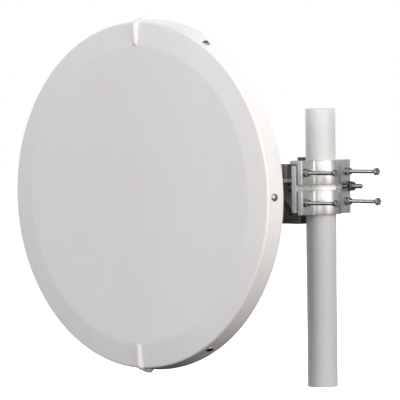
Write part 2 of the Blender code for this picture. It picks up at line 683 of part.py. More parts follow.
def make_hub(parts, tools, dish_axis):
    centre = (DISH_X, HUB_PLATE_Y, AXIS_HEIGHT)
    plate = cylinder("hub_plate", centre, HUB_PLATE_THICKNESS, HUB_PLATE_RADIUS, "y", parts, 64)
    depth = HUB_PLATE_THICKNESS + 2 * CUT_SPARE
    cuts = [cylinder("hub_centre_hole", (DISH_X, HUB_PLATE_Y - CUT_SPARE, AXIS_HEIGHT), depth,
                     HUB_HOLE_RADIUS, "y", parts, 48)]
    for x, z in hub_bolt_places():
        cuts.append(cylinder(f"hub_thread_{len(cuts)}", (x, HUB_PLATE_Y - CUT_SPARE, z), depth,
                             M8["radius"] + HOLE_PLAY, "y", parts, 20))
    combine(plate, cuts, "DIFFERENCE", tools)
    baked(plate)
    smooth(plate)
    paint(plate, "aluminium")
    under(plate, dish_axis)
    head_y = BACK_PLATE_Y + SHEET + GAP
    bolt = make_bolt_mesh("hub_bolt", M8, head_y - HUB_PLATE_Y - GAP, parts, tools)
    for number, (x, z) in enumerate(hub_bolt_places(), 1):
        place_copy(f"hub_bolt_{number}", bolt, "stainless", (x, head_y, z), TO_PLUS_Y, parts,
                   dish_axis)


def turned_on_dish(name, profile, parts, steps=TURN_STEPS):
    # The profile's height becomes the distance behind the dish's front edge
    item = baked(turned(name, profile, parts, steps=steps))
    item.data.transform(Matrix.Translation((DISH_X, FRONT_Y, AXIS_HEIGHT)) @ AXIS_TURN["y"])
    return item


def face_height(radius):
    # The flat face is very slightly hollow
    return -FACE_RISE + FACE_DISHING * (1 - (radius / FACE_RADIUS) ** 2)


def face_profile():
    # From the face's edge in along its front and out again along its back
    edge = FACE_RADIUS - GAP / 2
    points = [(edge, -FACE_RISE)]
    for share in (0.75, 0.5, 0.25, 0.0):
        radius = FACE_RADIUS * share
        points.append((radius, face_height(radius)))
    for share in (0.0, 0.5):
        radius = FACE_RADIUS * share
        points.append((radius, face_height(radius) + RADOME_WALL))
    return points + [(edge, -FACE_RISE + RADOME_WALL)]


def rim_profile():
    # From the skirt's rear edge forward and in to the face, and back inside
    points = [(SKIRT_RADIUS, SKIRT_DEPTH)]
    centre_r, centre_h = EDGE_RADIUS - EDGE_ROUNDING, EDGE_ROUNDING - 0.0005
    for i in range(5):
        angle = math.radians(-4 + i * 20)
        points.append((centre_r + EDGE_ROUNDING * math.cos(angle),
                       centre_h - EDGE_ROUNDING * math.sin(angle)))
    inner = FACE_RADIUS + GAP / 2
    wall = RADOME_WALL
    corner_depth = EDGE_ROUNDING + wall
    points += [(FACE_RADIUS + 2 * wall, -FACE_RISE + wall / 10), (inner, -FACE_RISE),
               (inner, -FACE_RISE + wall), (EDGE_RADIUS - 2 * wall, wall),
               (skirt_radius_at(corner_depth) - wall, corner_depth),
               (SKIRT_RADIUS - wall, SKIRT_DEPTH)]
    return points


def make_radome(parts, tools, dish_axis):
    # One moulding on the real dish; its face and its rim are two solids here
    face = turned_on_dish("radome_face", face_profile(), parts)
    smooth(face, 40)
    paint(face, "radome")
    under(face, dish_axis)
    rim = turned_on_dish("radome_rim", rim_profile(), parts)
    ribs = []
    wall = RADOME_WALL / 2
    start = FACE_RADIUS + GAP
    corner = (EDGE_RADIUS + RIB_PROUD - RIB_CORNER, RIB_CORNER - RIB_FRONT)
    rib_plan = [(start, -FACE_RISE + wall), (start, -FACE_RISE - FACE_STEP),
                (start + RIB_RUN_IN, -RIB_FRONT)]
    rib_plan += arc(corner, RIB_CORNER, -90, -10, 5)
    rib_plan += [(radius, depth) for depth, radius in RIB_CREST]
    rear = RIB_CREST[-1][0]
    rib_plan += [(skirt_radius_at(rear) - wall, rear),
                 (EDGE_RADIUS - wall, EDGE_ROUNDING), (EDGE_RADIUS - 4 * wall, wall)]
    # The outline's X becomes the way out from the dish axis, its Y the way back
    for label, turn in (("top", 1), ("bottom", -1)):
        stand = Matrix(((0, 0, 1, 0), (0, 1, 0, 0), (turn, 0, 0, 0), (0, 0, 0, 1)))
        place = Matrix.Translation((DISH_X, FRONT_Y, AXIS_HEIGHT)) @ stand
        ribs.append(outline_solid("radome_rib_" + label, rib_plan, RIB_WIDTH, place, parts))
    combine(rim, ribs, "UNION", tools)
    combine(rim, rim_screw_cutters("radome", parts), "DIFFERENCE", tools)
    baked(rim)
    smooth(rim, 40)
    paint(rim, "radome")
    under(rim, dish_axis)


def skirt_radius_at(depth):
    start = EDGE_ROUNDING
    share = (depth - start) / (SKIRT_DEPTH - start)
    return EDGE_RADIUS + (SKIRT_RADIUS - EDGE_RADIUS) * share


def rim_screw_frame(number):
    # Local Z points out through the skirt, square to its slope
    angle = 2 * math.pi * number / RIM_SCREWS
    slope = math.atan2(SKIRT_RADIUS - EDGE_RADIUS, SKIRT_DEPTH - EDGE_ROUNDING)
    radius = skirt_radius_at(RIM_SCREW_Y)
    out = Matrix.Rotation(-angle, 4, "Y") @ Matrix.Rotation(math.pi / 2, 4, "Y")
    tilt = Matrix.Rotation(-angle, 4, "Y") @ Matrix.Rotation(-slope, 4, "Z")
    tilt = tilt @ Matrix.Rotation(angle, 4, "Y") @ out
    where = Vector((radius * math.cos(angle), RIM_SCREW_Y, radius * math.sin(angle)))
    return Matrix.Translation(Vector((DISH_X, FRONT_Y, AXIS_HEIGHT)) + where) @ tilt


def rim_screw_cutters(owner, parts):
    cutters = []
    for number in range(RIM_SCREWS):
        cutter = cylinder(f"{owner}_screw_hole_{number + 1}", (0, 0, -2 * CUT_SPARE),
                          3 * CUT_SPARE, RIM_SCREW_SHANK + HOLE_PLAY, "z", parts, 16)
        cutter.data.transform(rim_screw_frame(number))
        cutters.append(cutter)
    return cutters


def make_rim_screws(parts, dish_axis):
    # Dome head and shank, turned as one profile
    profile = []
    for i in range(6):
        angle = math.radians(90 - i * 18)
        profile.append((RIM_SCREW_HEAD * math.cos(angle), GAP + RIM_SCREW_DOME * math.sin(angle)))
    profile += [(RIM_SCREW_SHANK, GAP), (RIM_SCREW_SHANK, -RIM_SCREW_LENGTH),
                (0.0, -RIM_SCREW_LENGTH)]
    screw = baked(turned("rim_screw", profile, parts, closed=False, steps=20))
    smooth(screw)
    mesh = screw.data
    bpy.data.objects.remove(screw, do_unlink=True)
    for number in range(RIM_SCREWS):
        frame = rim_screw_frame(number)
        place_copy(f"rim_screw_{number + 1}", mesh, "stainless", frame.to_translation(),
                   frame.to_3x3(), parts, dish_axis)


def bowl_middle_line():
    # Inner face of the reflector, from the hub hole out to the aperture
    points = [(HUB_HOLE_RADIUS, BOWL_APERTURE_Y + BOWL_DEPTH)]
    span = BOWL_RADIUS ** 2 - HUB_FLAT_RADIUS ** 2
    for i in range(11):
        radius = HUB_FLAT_RADIUS + (BOWL_RADIUS - HUB_FLAT_RADIUS) * i / 10
        fall = BOWL_DEPTH * (radius ** 2 - HUB_FLAT_RADIUS ** 2) / span
        points.append((radius, BOWL_APERTURE_Y + BOWL_DEPTH - fall))
    return points


def offset_line(points, distance):
    # Moves an open line sideways, square to the mean of its neighbours
    moved = []
    for i, (r, h) in enumerate(points):
        before = points[max(i - 1, 0)]
        after = points[min(i + 1, len(points) - 1)]
        run = Vector((after[0] - before[0], after[1] - before[1])).normalized()
        moved.append((r - run.y * distance, h + run.x * distance))
    return moved


def make_reflector(parts, tools, dish_axis):
    front = bowl_middle_line()
    back = offset_line(front, BOWL_WALL)
    back[0] = (HUB_HOLE_RADIUS, front[0][1] + BOWL_WALL)
    back[1] = (HUB_FLAT_RADIUS, front[1][1] + BOWL_WALL)
    wall = RADOME_WALL + GAP + FACE_STEP
    lip_front = skirt_radius_at(BOWL_APERTURE_Y) - wall
    lip_back = skirt_radius_at(LIP_END_Y) - wall
    rim = [(lip_front, BOWL_APERTURE_Y), (lip_back, LIP_END_Y),
           (lip_back - BOWL_WALL, LIP_END_Y), (lip_front - BOWL_WALL, BOWL_APERTURE_Y + BOWL_WALL)]
    profile = front + rim + back[::-1][1:]
    bowl = turned_on_dish("reflector", profile[::-1], parts)
    combine(bowl, rim_screw_cutters("reflector", parts), "DIFFERENCE", tools)
    baked(bowl)
    smooth(bowl, 40)
    paint(bowl, "aluminium")
    under(bowl, dish_axis)


def make_feed_port(parts, dish_axis):
    # Waveguide tube through the hub, with a flange and a dust cap behind
    rear = HUB_PLATE_Y + HUB_PLATE_THICKNESS - FRONT_Y + GAP
    front = rear - HUB_PLATE_THICKNESS - BOWL_WALL - PORT_TUBE_FORWARD
    flange_end = rear + PORT_FLANGE_THICKNESS
    profile = [(0.0, flange_end), (PORT_FLANGE_RADIUS, flange_end), (PORT_FLANGE_RADIUS, rear),
               (PORT_TUBE_RADIUS, rear), (PORT_TUBE_RADIUS, front), (0.0, front)]
    port = baked(turned("feed_port", profile, parts, closed=False, steps=48))
    port.data.transform(Matrix.Translation((DISH_X, FRONT_Y, AXIS_HEIGHT)) @ AXIS_TURN["y"])
    smooth(port)
    paint(port, "aluminium")
    under(port, dish_axis)
    start = flange_end + GAP
    cap_profile = [(0.0, start + PORT_CAP_HEIGHT), (PORT_CAP_RADIUS - 0.002, start + PORT_CAP_HEIGHT),
                   (PORT_CAP_RADIUS, start + PORT_CAP_HEIGHT - 0.002), (PORT_CAP_RADIUS, start),
                   (0.0, start)]
    cap = baked(turned("feed_port_cap", cap_profile, parts, closed=False, steps=48))
    cap.data.transform(Matrix.Translation((DISH_X, FRONT_Y, AXIS_HEIGHT)) @ AXIS_TURN["y"])
    smooth(cap)
    paint(cap, "plug")
    under(cap, dish_axis)


def build():
    clear_scene()
    parts = new_collection("parabolic_dish_antenna")
    tools = new_collection("cutters")
    yoke_axis = joint_empty("azimuth_axis", (HINGE_X, 0, CLAMP_MIDDLE), parts)
    link_axis = joint_empty("adjuster_axis", (HINGE_X, STUD_Y, STUD_Z), parts)
    dish_axis = joint_empty("elevation_axis", (SIDE_PLATE_X, PIVOT_Y, PIVOT_Z), parts)
    under(link_axis, yoke_axis)
    under(dish_axis, yoke_axis)
    bpy.context.view_layer.update()
    make_pole(parts)
    make_front_jaws(parts, tools)
    make_rear_jaw(parts, tools)
    make_clamp_bolts(parts, tools)
    make_adjuster(parts, tools, yoke_axis, link_axis)
    make_yoke(parts, tools, yoke_axis)
    make_yoke_fasteners(parts, tools, yoke_axis)
    make_bracket(parts, tools, dish_axis)
    make_hub(parts, tools, dish_axis)
    make_reflector(parts, tools, dish_axis)
    make_radome(parts, tools, dish_axis)
    make_rim_screws(parts, dish_axis)
    make_feed_port(parts, dish_axis)


build()
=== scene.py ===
import math
from functools import reduce

import bmesh
import bpy
import numpy as np
from mathutils import Matrix, Vector


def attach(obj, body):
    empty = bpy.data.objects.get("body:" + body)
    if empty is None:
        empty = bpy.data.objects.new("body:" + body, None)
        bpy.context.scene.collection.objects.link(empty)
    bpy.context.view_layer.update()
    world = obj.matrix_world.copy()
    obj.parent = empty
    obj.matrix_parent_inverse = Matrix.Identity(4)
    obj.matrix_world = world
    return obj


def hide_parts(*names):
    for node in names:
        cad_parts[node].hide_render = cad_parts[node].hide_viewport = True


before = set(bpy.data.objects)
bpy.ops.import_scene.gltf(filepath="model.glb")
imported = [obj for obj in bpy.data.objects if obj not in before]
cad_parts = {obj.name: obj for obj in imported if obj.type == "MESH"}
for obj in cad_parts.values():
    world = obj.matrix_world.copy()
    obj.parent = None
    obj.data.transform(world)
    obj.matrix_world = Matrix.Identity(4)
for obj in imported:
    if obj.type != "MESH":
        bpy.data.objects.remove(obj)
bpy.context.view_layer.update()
print("frame loaded")

# Where the main axes lie, in metres, the same as in the part's source
layout = {
    "axisHeight": 0.390, "dishX": -0.2255, "dishFrontY": -0.2941,
    "poleRadius": 0.03015, "poleTop": 0.558, "clampMiddle": 0.4004,
    "hinge": (-0.050, 0.0), "stud": (0.073, 0.4004),
}
# a quarter turn and a whole one
quarter, whole = math.pi / 2, 2 * math.pi


def shifted(x, y, z):
    return Matrix.Translation((x, y, z))


def turnedBy(angle, axis):
    return Matrix.Rotation(angle, 4, axis)


dishToWorld = shifted(layout["dishX"], layout["dishFrontY"], layout["axisHeight"]) @ turnedBy(-quarter, "X")
alongX, alongMinusX, alongY = turnedBy(quarter, "Y"), turnedBy(-quarter, "Y"), turnedBy(-quarter, "X")
upright = Matrix.Identity(4)


# Small helpers

def link(name, data):
    item = bpy.data.objects.new(name, data)
    bpy.context.scene.collection.objects.link(item)
    return item


def smoothed(mesh, angle):
    mesh.shade_smooth()
    mesh.set_sharp_from_angle(angle=math.radians(angle))
    return mesh


def plainMesh(name, form):
    mesh = bpy.data.meshes.new(name)
    form.to_mesh(mesh)
    form.free()
    return mesh


def itemFrom(name, form, smoothAngle=32.0):
    bmesh.ops.remove_doubles(form, verts=form.verts, dist=0.000002)
    bmesh.ops.recalc_face_normals(form, faces=form.faces)
    return link(name, smoothed(plainMesh(name, form), smoothAngle))


def evaluatedMesh(item):
    bpy.context.view_layer.update()
    graph = bpy.context.evaluated_depsgraph_get()
    return bpy.data.meshes.new_from_object(item.evaluated_get(graph), depsgraph=graph)


def takeMesh(item, mesh):
    old = item.data
    item.modifiers.clear()
    item.data = mesh
    bpy.data.meshes.remove(old)


def discard(item):
    mesh = item.data
    bpy.data.objects.remove(item, do_unlink=True)
    bpy.data.meshes.remove(mesh)


def settle(item, smoothAngle=32.0):
    # modifiers and placement go into the mesh, so that the object rests at the origin
    mesh = evaluatedMesh(item)
    mesh.transform(item.matrix_world)
    mesh.name = item.name
    takeMesh(item, mesh)
    item.matrix_world = Matrix.Identity(4)
    smoothed(mesh, smoothAngle)
    return item


def placed(item, place, smoothAngle=28.0):
    item.matrix_world = place
    return settle(item, smoothAngle)


def dress(item, finish, body, replaced):
    item.data.materials.clear()
    item.data.materials.append(materials[finish])
    for face in item.data.polygons:
        face.material_index = 0
    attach(item, body)
    if replaced:
        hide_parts(*replaced)


def turnedForm(profile, steps, closed=True, place=None, angles=None, shape=None):
    # profile of (radius, height) pairs turned about Z; shape may push points about
    form = bmesh.new()
    if angles is None:
        angles = [whole * i / steps for i in range(steps)]
    rings = []
    for radius, height in profile:
        if radius < 1e-7:
            rings.append([form.verts.new((0.0, 0.0, height))])
            continue
        ring = []
        for angle in angles:
            r, h = (radius, height) if shape is None else shape(radius, height, angle)
            ring.append(form.verts.new((r * math.cos(angle), r * math.sin(angle), h)))
        rings.append(ring)
    pairs = list(zip(rings, rings[1:]))
    if closed:
        pairs.append((rings[-1], rings[0]))
    for low, high in pairs:
        if len(low) == 1 and len(high) == 1:
            continue
        for i in range(len(angles)):
            j = (i + 1) % len(angles)
            if len(low) == 1:
                form.faces.new((low[0], high[i], high[j]))
            elif len(high) == 1:
                form.faces.new((low[i], high[0], low[j]))
            else:
                form.faces.new((low[i], high[i], high[j], low[j]))
    if place is not None:
        bmesh.ops.transform(form, matrix=place, verts=form.verts)
    return form


def turned(name, profile, steps, closed=True, place=None):
    return itemFrom(name, turnedForm(profile, steps, closed, place))


def arcPoints(centre, radius, first, last, steps):
    angles = [math.radians(first + (last - first) * i / steps) for i in range(steps + 1)]
    return [(centre[0] + radius * math.cos(a), centre[1] + radius * math.sin(a)) for a in angles]


def bridge(form, low, high):
    # one face for each step between two rings of the same length
    for i in range(len(low)):
        j = (i + 1) % len(low)
        form.faces.new((low[i], low[j], high[j], high[i]))


def extruded(name, points, thickness, place):
    # flat outline given a thickness about its plane
    form = bmesh.new()
    low, high = ([form.verts.new((x, y, z)) for x, y in points] for z in (-thickness / 2, thickness / 2))
    form.faces.new(low[::-1])
    form.faces.new(high)
    bridge(form, low, high)
    bmesh.ops.transform(form, matrix=place, verts=form.verts)
    return itemFrom(name, form)


def cut(item, tools, operation="DIFFERENCE"):
    for tool in tools:
        step = item.modifiers.new("cut", "BOOLEAN")
        step.operation = operation
        step.solver = "EXACT"
        step.object = tool
    takeMesh(item, evaluatedMesh(item))
    for tool in tools:
        discard(tool)


def softenEdges(item, width, angle):
    bevel = item.modifiers.new("edges", "BEVEL")
    bevel.width = width
    bevel.segments = 2
    bevel.limit_method = "ANGLE"
    bevel.angle_limit = math.radians(angle)
    settle(item, 30.0)


def hole(start, length, radius, turn, steps=32):
    # a round tool to cut with
    profile = [(0.0, 0.0), (radius, 0.0), (radius, length), (0.0, length)]
    return turned("hole", profile, steps, closed=False, place=shifted(*start) @ turn)


def copyOfNode(node, name):
    # a CAD node's own shape, welded, as the start of a finer piece
    form = bmesh.new()
    form.from_mesh(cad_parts[node].data)
    bmesh.ops.remove_doubles(form, verts=form.verts, dist=0.00002)
    bmesh.ops.dissolve_limit(form, angle_limit=math.radians(0.6), verts=form.verts, edges=form.edges)
    return itemFrom(name, form)


def joined(name, items):
    form = bmesh.new()
    for item in items:
        item.data.transform(item.matrix_world)
        form.from_mesh(item.data)
        discard(item)
    return link(name, smoothed(plainMesh(name, form), 32.0))


# Building node trees

class nodeBuilder:
    # adds nodes to one tree; an input's value is another node's socket or a plain value
    def __init__(self, tree):
        self.tree = tree

    def fill(self, node, values):
        for key, value in values.items():
            socket = node.inputs[key]
            if isinstance(value, bpy.types.NodeSocket):
                self.tree.links.new(value, socket)
            elif socket.type == "RGBA":
                socket.default_value = (*value, 1.0)[:4]
            else:
                socket.default_value = value

    def add(self, kind, values=(), **settings):
        node = self.tree.nodes.new(kind)
        for key, value in settings.items():
            setattr(node, key, value)
        self.fill(node, dict(values))
        return node.outputs

    def math(self, operation, *values):
        return self.add("ShaderNodeMath", dict(enumerate(values)), operation=operation)[0]

    def plus(self, *values):
        return reduce(lambda first, second: self.math("ADD", first, second), values)

    def times(self, *values):
        return reduce(lambda first, second: self.math("MULTIPLY", first, second), values)

    def minus(self, first, second):
        return self.math("SUBTRACT", first, second)

    def over(self, first, second):
        return self.math("DIVIDE", first, second)

    def vector(self, operation, *values):
        return self.add("ShaderNodeVectorMath", dict(enumerate(values)), operation=operation)[0]

    def scaled(self, direction, scale):
        return self.add("ShaderNodeVectorMath", {0: direction, "Scale": scale}, operation="SCALE")[0]

    def split(self, place):
        return self.add("ShaderNodeSeparateXYZ", {0: place})

    def combined(self, **parts):
        return self.add("ShaderNodeCombineXYZ", parts)[0]

    def ramp(self, value, low, high, lowOut=0.0, highOut=1.0):
        return self.add("ShaderNodeMapRange", {
            "Value": value, "From Min": low, "From Max": high, "To Min": lowOut, "To Max": highOut})[0]

    def noise(self, place, scale, detail, roughness=0.5):
        return self.add("ShaderNodeTexNoise", {
            "Vector": place, "Scale": scale, "Detail": detail, "Roughness": roughness})[0]

    def mixNumber(self, share, first, second):
        return self.add("ShaderNodeMix", {0: share, 2: first, 3: second}, data_type="FLOAT")[0]

    def mixColour(self, share, first, second):
        return self.add("ShaderNodeMix", {0: share, 6: first, 7: second}, data_type="RGBA")[2]

    def position(self):
        return self.add("GeometryNodeInputPosition")[0]

    def shapeOf(self, item):
        return self.add("GeometryNodeObjectInfo", {"Object": item})["Geometry"]

    def moved(self, shape, shift, turn=(0.0, 0.0, 0.0)):
        return self.add("GeometryNodeTransform", {
            "Geometry": shape, "Translation": shift, "Rotation": turn})[0]

    def setPoints(self, shape, **values):
        return self.add("GeometryNodeSetPosition", {"Geometry": shape, **values})[0]

    def copies(self, points, shape, turn, scale=(1.0, 1.0, 1.0)):
        return self.add("GeometryNodeInstanceOnPoints", {
            "Points": points, "Instance": shape, "Rotation": turn, "Scale": scale})[0]

    def close(self, shape, material):
        real = self.add("GeometryNodeRealizeInstances", {0: shape})[0]
        done = self.add("GeometryNodeSetMaterial", {"Geometry": real, "Material": material})[0]
        self.add("NodeGroupOutput", {0: done})


def socketKind(value):
    # a word names the kind itself, otherwise the default's own type tells it
    if isinstance(value, str):
        return "NodeSocket" + value
    if isinstance(value, tuple):
        return "NodeSocketVector" if len(value) == 3 else "NodeSocketColor"
    return "NodeSocketInt" if isinstance(value, int) else "NodeSocketFloat"


def newTree(kind, name, inputs, outputs):
    tree = bpy.data.node_groups.new(name, kind)
    for side, sockets in (("INPUT", inputs), ("OUTPUT", outputs)):
        for label, value in sockets.items():
            socket = tree.interface.new_socket(label, in_out=side, socket_type=socketKind(value))
            if not isinstance(value, str):
                socket.default_value = value
    nodes = nodeBuilder(tree)
    return tree, nodes, nodes.add("NodeGroupInput")


# Geometry node trees

def geometryTree(name, inputs):
    return newTree("GeometryNodeTree", name, {**inputs, "Material": "Material"}, {"Geometry": "Geometry"})


def runTree(name, tree, values):
    # the tree's result as a plain mesh object; each input is set by its socket's identifier
    item = link(name, bpy.data.meshes.new(name))
    modifier = item.modifiers.new(tree.name, "NODES")
    modifier.node_group = tree
    for socket in tree.interface.items_tree:
        if socket.item_type == "SOCKET" and socket.in_out == "INPUT" and socket.name in values:
            modifier[socket.identifier] = values[socket.name]
    return settle(item)


def makeThreadTree():
    # a threaded rod: its head end at z = 0, its tip at z = -Length
    tree, nodes, given = geometryTree("threadedRod", {
        "Radius": 0.004, "Length": 0.05, "Pitch": 0.00125, "Depth": 0.0006, "Plain Length": 0.004,
        "Chamfer": 0.0012, "Sides": 20})
    rowsPerTurn, wholeTurns = 6.0, 1000.0
    length, pitch = given["Length"], given["Pitch"]
    rows = nodes.math("CEIL", nodes.times(nodes.over(length, pitch), rowsPerTurn))
    body = nodes.add("GeometryNodeMeshCylinder", {
        "Vertices": given["Sides"], "Side Segments": rows, "Radius": given["Radius"], "Depth": length},
        fill_type="NGON")["Mesh"]
    lower = nodes.moved(body, nodes.combined(Z=nodes.times(length, -0.5)))
    place = nodes.split(nodes.position())
    turn = nodes.over(nodes.math("ARCTAN2", place["Y"], place["X"]), whole)
    # whole turns are added so that the phase never goes below zero
    phase = nodes.math("FRACT", nodes.plus(nodes.over(place["Z"], pitch), turn, wholeTurns))
    groove = nodes.times(nodes.math("PINGPONG", phase, 0.5), 2.0)
    belowNeck = nodes.math("GREATER_THAN", nodes.times(place["Z"], -1.0), given["Plain Length"])
    cutIn = nodes.times(groove, given["Depth"], belowNeck)
    fromTip = nodes.plus(length, place["Z"])
    taper = nodes.math("MAXIMUM", nodes.minus(given["Chamfer"], fromTip), 0.0)
    inward = nodes.times(nodes.math("MAXIMUM", cutIn, taper), -1.0)
    outward = nodes.vector("NORMALIZE", nodes.vector("MULTIPLY", nodes.position(), (1.0, 1.0, 0.0)))
    nodes.close(nodes.setPoints(lower, Offset=nodes.scaled(outward, inward)), given["Material"])
    return tree


def makeGridTree():
    # one fastener at each corner of an upright or level rectangle
    tree, nodes, given = geometryTree("fastenerGrid", {
        "Fastener": "Object", "Width": 0.1, "Height": 0.05, "Columns": 2, "Rows": 2,
        "Centre": (0, 0, 0), "Plane Turn": (0, 0, 0), "Fastener Turn": (0, 0, 0),
        "Random Spin": 0.0, "Seed": 3, "Lower Row Shift": (0, 0, 0)})
    corners = nodes.add("GeometryNodeMeshGrid", {
        "Size X": given["Width"], "Size Y": given["Height"], "Vertices X": given["Columns"],
        "Vertices Y": given["Rows"]})["Mesh"]
    laid = nodes.moved(corners, given["Centre"], given["Plane Turn"])
    # the lower row may stand out a little further than the upper one
    isLow = nodes.math("LESS_THAN", nodes.split(nodes.position())["Z"], nodes.split(given["Centre"])["Z"])
    spots = nodes.setPoints(laid, Offset=nodes.scaled(given["Lower Row Shift"], isLow))
    # each fastener was tightened by its own amount, so it is spun about its axis first
    spin = nodes.add("FunctionNodeRandomValue", {
        2: nodes.times(given["Random Spin"], -1.0), 3: given["Random Spin"], "Seed": given["Seed"]},
        data_type="FLOAT")[1]
    spinTurn = nodes.add("FunctionNodeEulerToRotation", {0: nodes.combined(Z=spin)})[0]
    faceTurn = nodes.add("FunctionNodeEulerToRotation", {0: given["Fastener Turn"]})[0]
    turn = nodes.add("FunctionNodeRotateRotation", {0: faceTurn, 1: spinTurn}, rotation_space="LOCAL")[0]
    nodes.close(nodes.copies(spots, nodes.shapeOf(given["Fastener"]), turn), given["Material"])
    return tree


def makeRingTree():
    # one piece set round a circle about Z, its own Z pointing outwards, leaning by Lean
    tree, nodes, given = geometryTree("pieceRing", {
        "Piece": "Object", "Count": 6, "Radius": 0.3, "Height": 0.0, "Lean": 0.0})
    circle = nodes.add("GeometryNodeMeshCircle", {
        "Vertices": given["Count"], "Radius": given["Radius"]})[0]
    outward = nodes.vector("NORMALIZE", nodes.position())
    aim = nodes.vector("ADD", outward, nodes.combined(Z=nodes.math("TANGENT", given["Lean"])))
    turn = nodes.add("FunctionNodeAlignRotationToVector", {"Vector": aim}, axis="Z")[0]
    ring = nodes.copies(circle, nodes.shapeOf(given["Piece"]), turn)
    nodes.close(nodes.moved(ring, nodes.combined(Z=given["Height"])), given["Material"])
    return tree


def makeWeldTree():
    # a weld bead: overlapping flattened drops along a straight run
    tree, nodes, given = geometryTree("weldBead", {
        "Start": (0, 0, 0), "End": (0.1, 0, 0), "Width": 0.0025, "Step": 0.0014, "Seed": 5})
    run = nodes.add("GeometryNodeCurvePrimitiveLine", {"Start": given["Start"], "End": given["End"]})[0]
    spaced = nodes.add("GeometryNodeCurveToPoints", {"Curve": run, "Length": given["Step"]}, mode="LENGTH")
    drop = nodes.add("GeometryNodeMeshIcoSphere", {"Subdivisions": 2, "Radius": given["Width"]})["Mesh"]
    size = nodes.add("FunctionNodeRandomValue", {
        0: (0.85, 0.85, 0.8), 1: (1.1, 1.1, 1.05), "Seed": given["Seed"]}, data_type="FLOAT_VECTOR")[0]
    nodes.close(nodes.copies(spaced["Points"], drop, spaced["Rotation"], size), given["Material"])
    return tree


def makeBowlTree():
    # the reflector's inner face: hub flat, parabola, then the lip turned back
    tree, nodes, given = geometryTree("spunBowl", {
        "Hole Radius": 0.0303, "Flat Radius": 0.100, "Bowl Radius": 0.3365, "Depth": 0.122,
        "Aperture Height": 0.0105, "Lip Front Radius": 0.3424, "Lip Back Radius": 0.3457,
        "Lip End": 0.036, "Steps Around": 192, "Steps Out": 90})
    flatEnd, bowlEnd, turnEnd = 0.14, 0.84, 0.90
    crownHeight, weldDistance = 0.0012, 0.00002
    grid = nodes.add("GeometryNodeMeshGrid", {
        "Size X": 1.0, "Size Y": 1.0, "Vertices X": nodes.plus(given["Steps Around"], 1.0),
        "Vertices Y": given["Steps Out"]})["Mesh"]
    place = nodes.split(nodes.position())
    angle = nodes.times(place["X"], whole)
    run = nodes.plus(place["Y"], 0.5)
    spans = ((0.0, flatEnd), (flatEnd, bowlEnd), (bowlEnd, turnEnd), (turnEnd, 1.0))
    flatShare, bowlShare, turnShare, lipShare = (nodes.ramp(run, *span) for span in spans)
    hub, flat, bowl, front, back = (given[label + " Radius"] for label in (
        "Hole", "Flat", "Bowl", "Lip Front", "Lip Back"))

    def step(low, high, share):
        return nodes.times(nodes.minus(high, low), share)

    radius = nodes.plus(hub, step(hub, flat, flatShare), step(flat, bowl, bowlShare))
    flatSquare = nodes.times(flat, flat)
    bowlSquare = nodes.times(bowl, bowl)
    rise = nodes.over(nodes.minus(nodes.times(radius, radius), flatSquare),
                      nodes.minus(bowlSquare, flatSquare))
    fall = nodes.times(nodes.math("MAXIMUM", rise, 0.0), given["Depth"])
    height = nodes.minus(nodes.plus(given["Aperture Height"], given["Depth"]), fall)
    # the turn over the rim is a half round, then the lip runs straight back
    radius = nodes.plus(radius, step(bowl, front, turnShare), step(front, back, lipShare))
    crown = nodes.math("SINE", nodes.times(turnShare, math.pi))
    height = nodes.plus(nodes.minus(height, nodes.times(crown, crownHeight)),
                        step(given["Aperture Height"], given["Lip End"], lipShare))
    spot = nodes.combined(X=nodes.times(radius, nodes.math("COSINE", angle)),
                          Y=nodes.times(radius, nodes.math("SINE", angle)), Z=height)
    shaped = nodes.setPoints(grid, Position=spot)
    welded = nodes.add("GeometryNodeMergeByDistance", {"Geometry": shaped, "Distance": weldDistance})[0]
    nodes.close(welded, given["Material"])
    return tree


# Shader groups that several materials share

def makeGrainGroup():
    # fine even roughness of a surface, with slower waves under it
    tree, nodes, given = newTree("ShaderNodeTree", "fineGrain", {
        "Vector": (0, 0, 0), "Scale": 900.0, "Fine": 1.0, "Slow": 0.3},
        {"Height": "Float", "Value": "Float"})
    fine = nodes.noise(given["Vector"], given["Scale"], 2.0)
    slow = nodes.noise(given["Vector"], nodes.times(given["Scale"], 0.06), 3.0)
    height = nodes.plus(nodes.times(fine, given["Fine"]), nodes.times(slow, given["Slow"]))
    nodes.add("NodeGroupOutput", {"Height": height, "Value": slow})
    return tree


def makeStainGroup():
    # soft patches and small specks of dust and dirt over a base colour
    tree, nodes, given = newTree("ShaderNodeTree", "dustAndStains", {
        "Vector": (0, 0, 0), "Clean": (0.8, 0.8, 0.8, 1), "Dirt": (0.3, 0.28, 0.25, 1),
        "Amount": 0.2, "Scale": 12.0, "Stretch": 0.25}, {"Color": "Color", "Mask": "Float"})
    squeeze = nodes.combined(X=1.0, Y=1.0, Z=given["Stretch"])
    patch = nodes.noise(nodes.vector("MULTIPLY", given["Vector"], squeeze), given["Scale"], 6.0, 0.62)
    speck = nodes.noise(given["Vector"], nodes.times(given["Scale"], 38.0), 2.0)
    both = nodes.plus(nodes.ramp(patch, 0.42, 0.78), nodes.ramp(speck, 0.62, 0.74, 0.0, 0.35))
    mask = nodes.math("MINIMUM", nodes.times(both, given["Amount"]), 1.0)
    nodes.add("NodeGroupOutput", {
        "Color": nodes.mixColour(mask, given["Clean"], given["Dirt"]), "Mask": mask})
    return tree


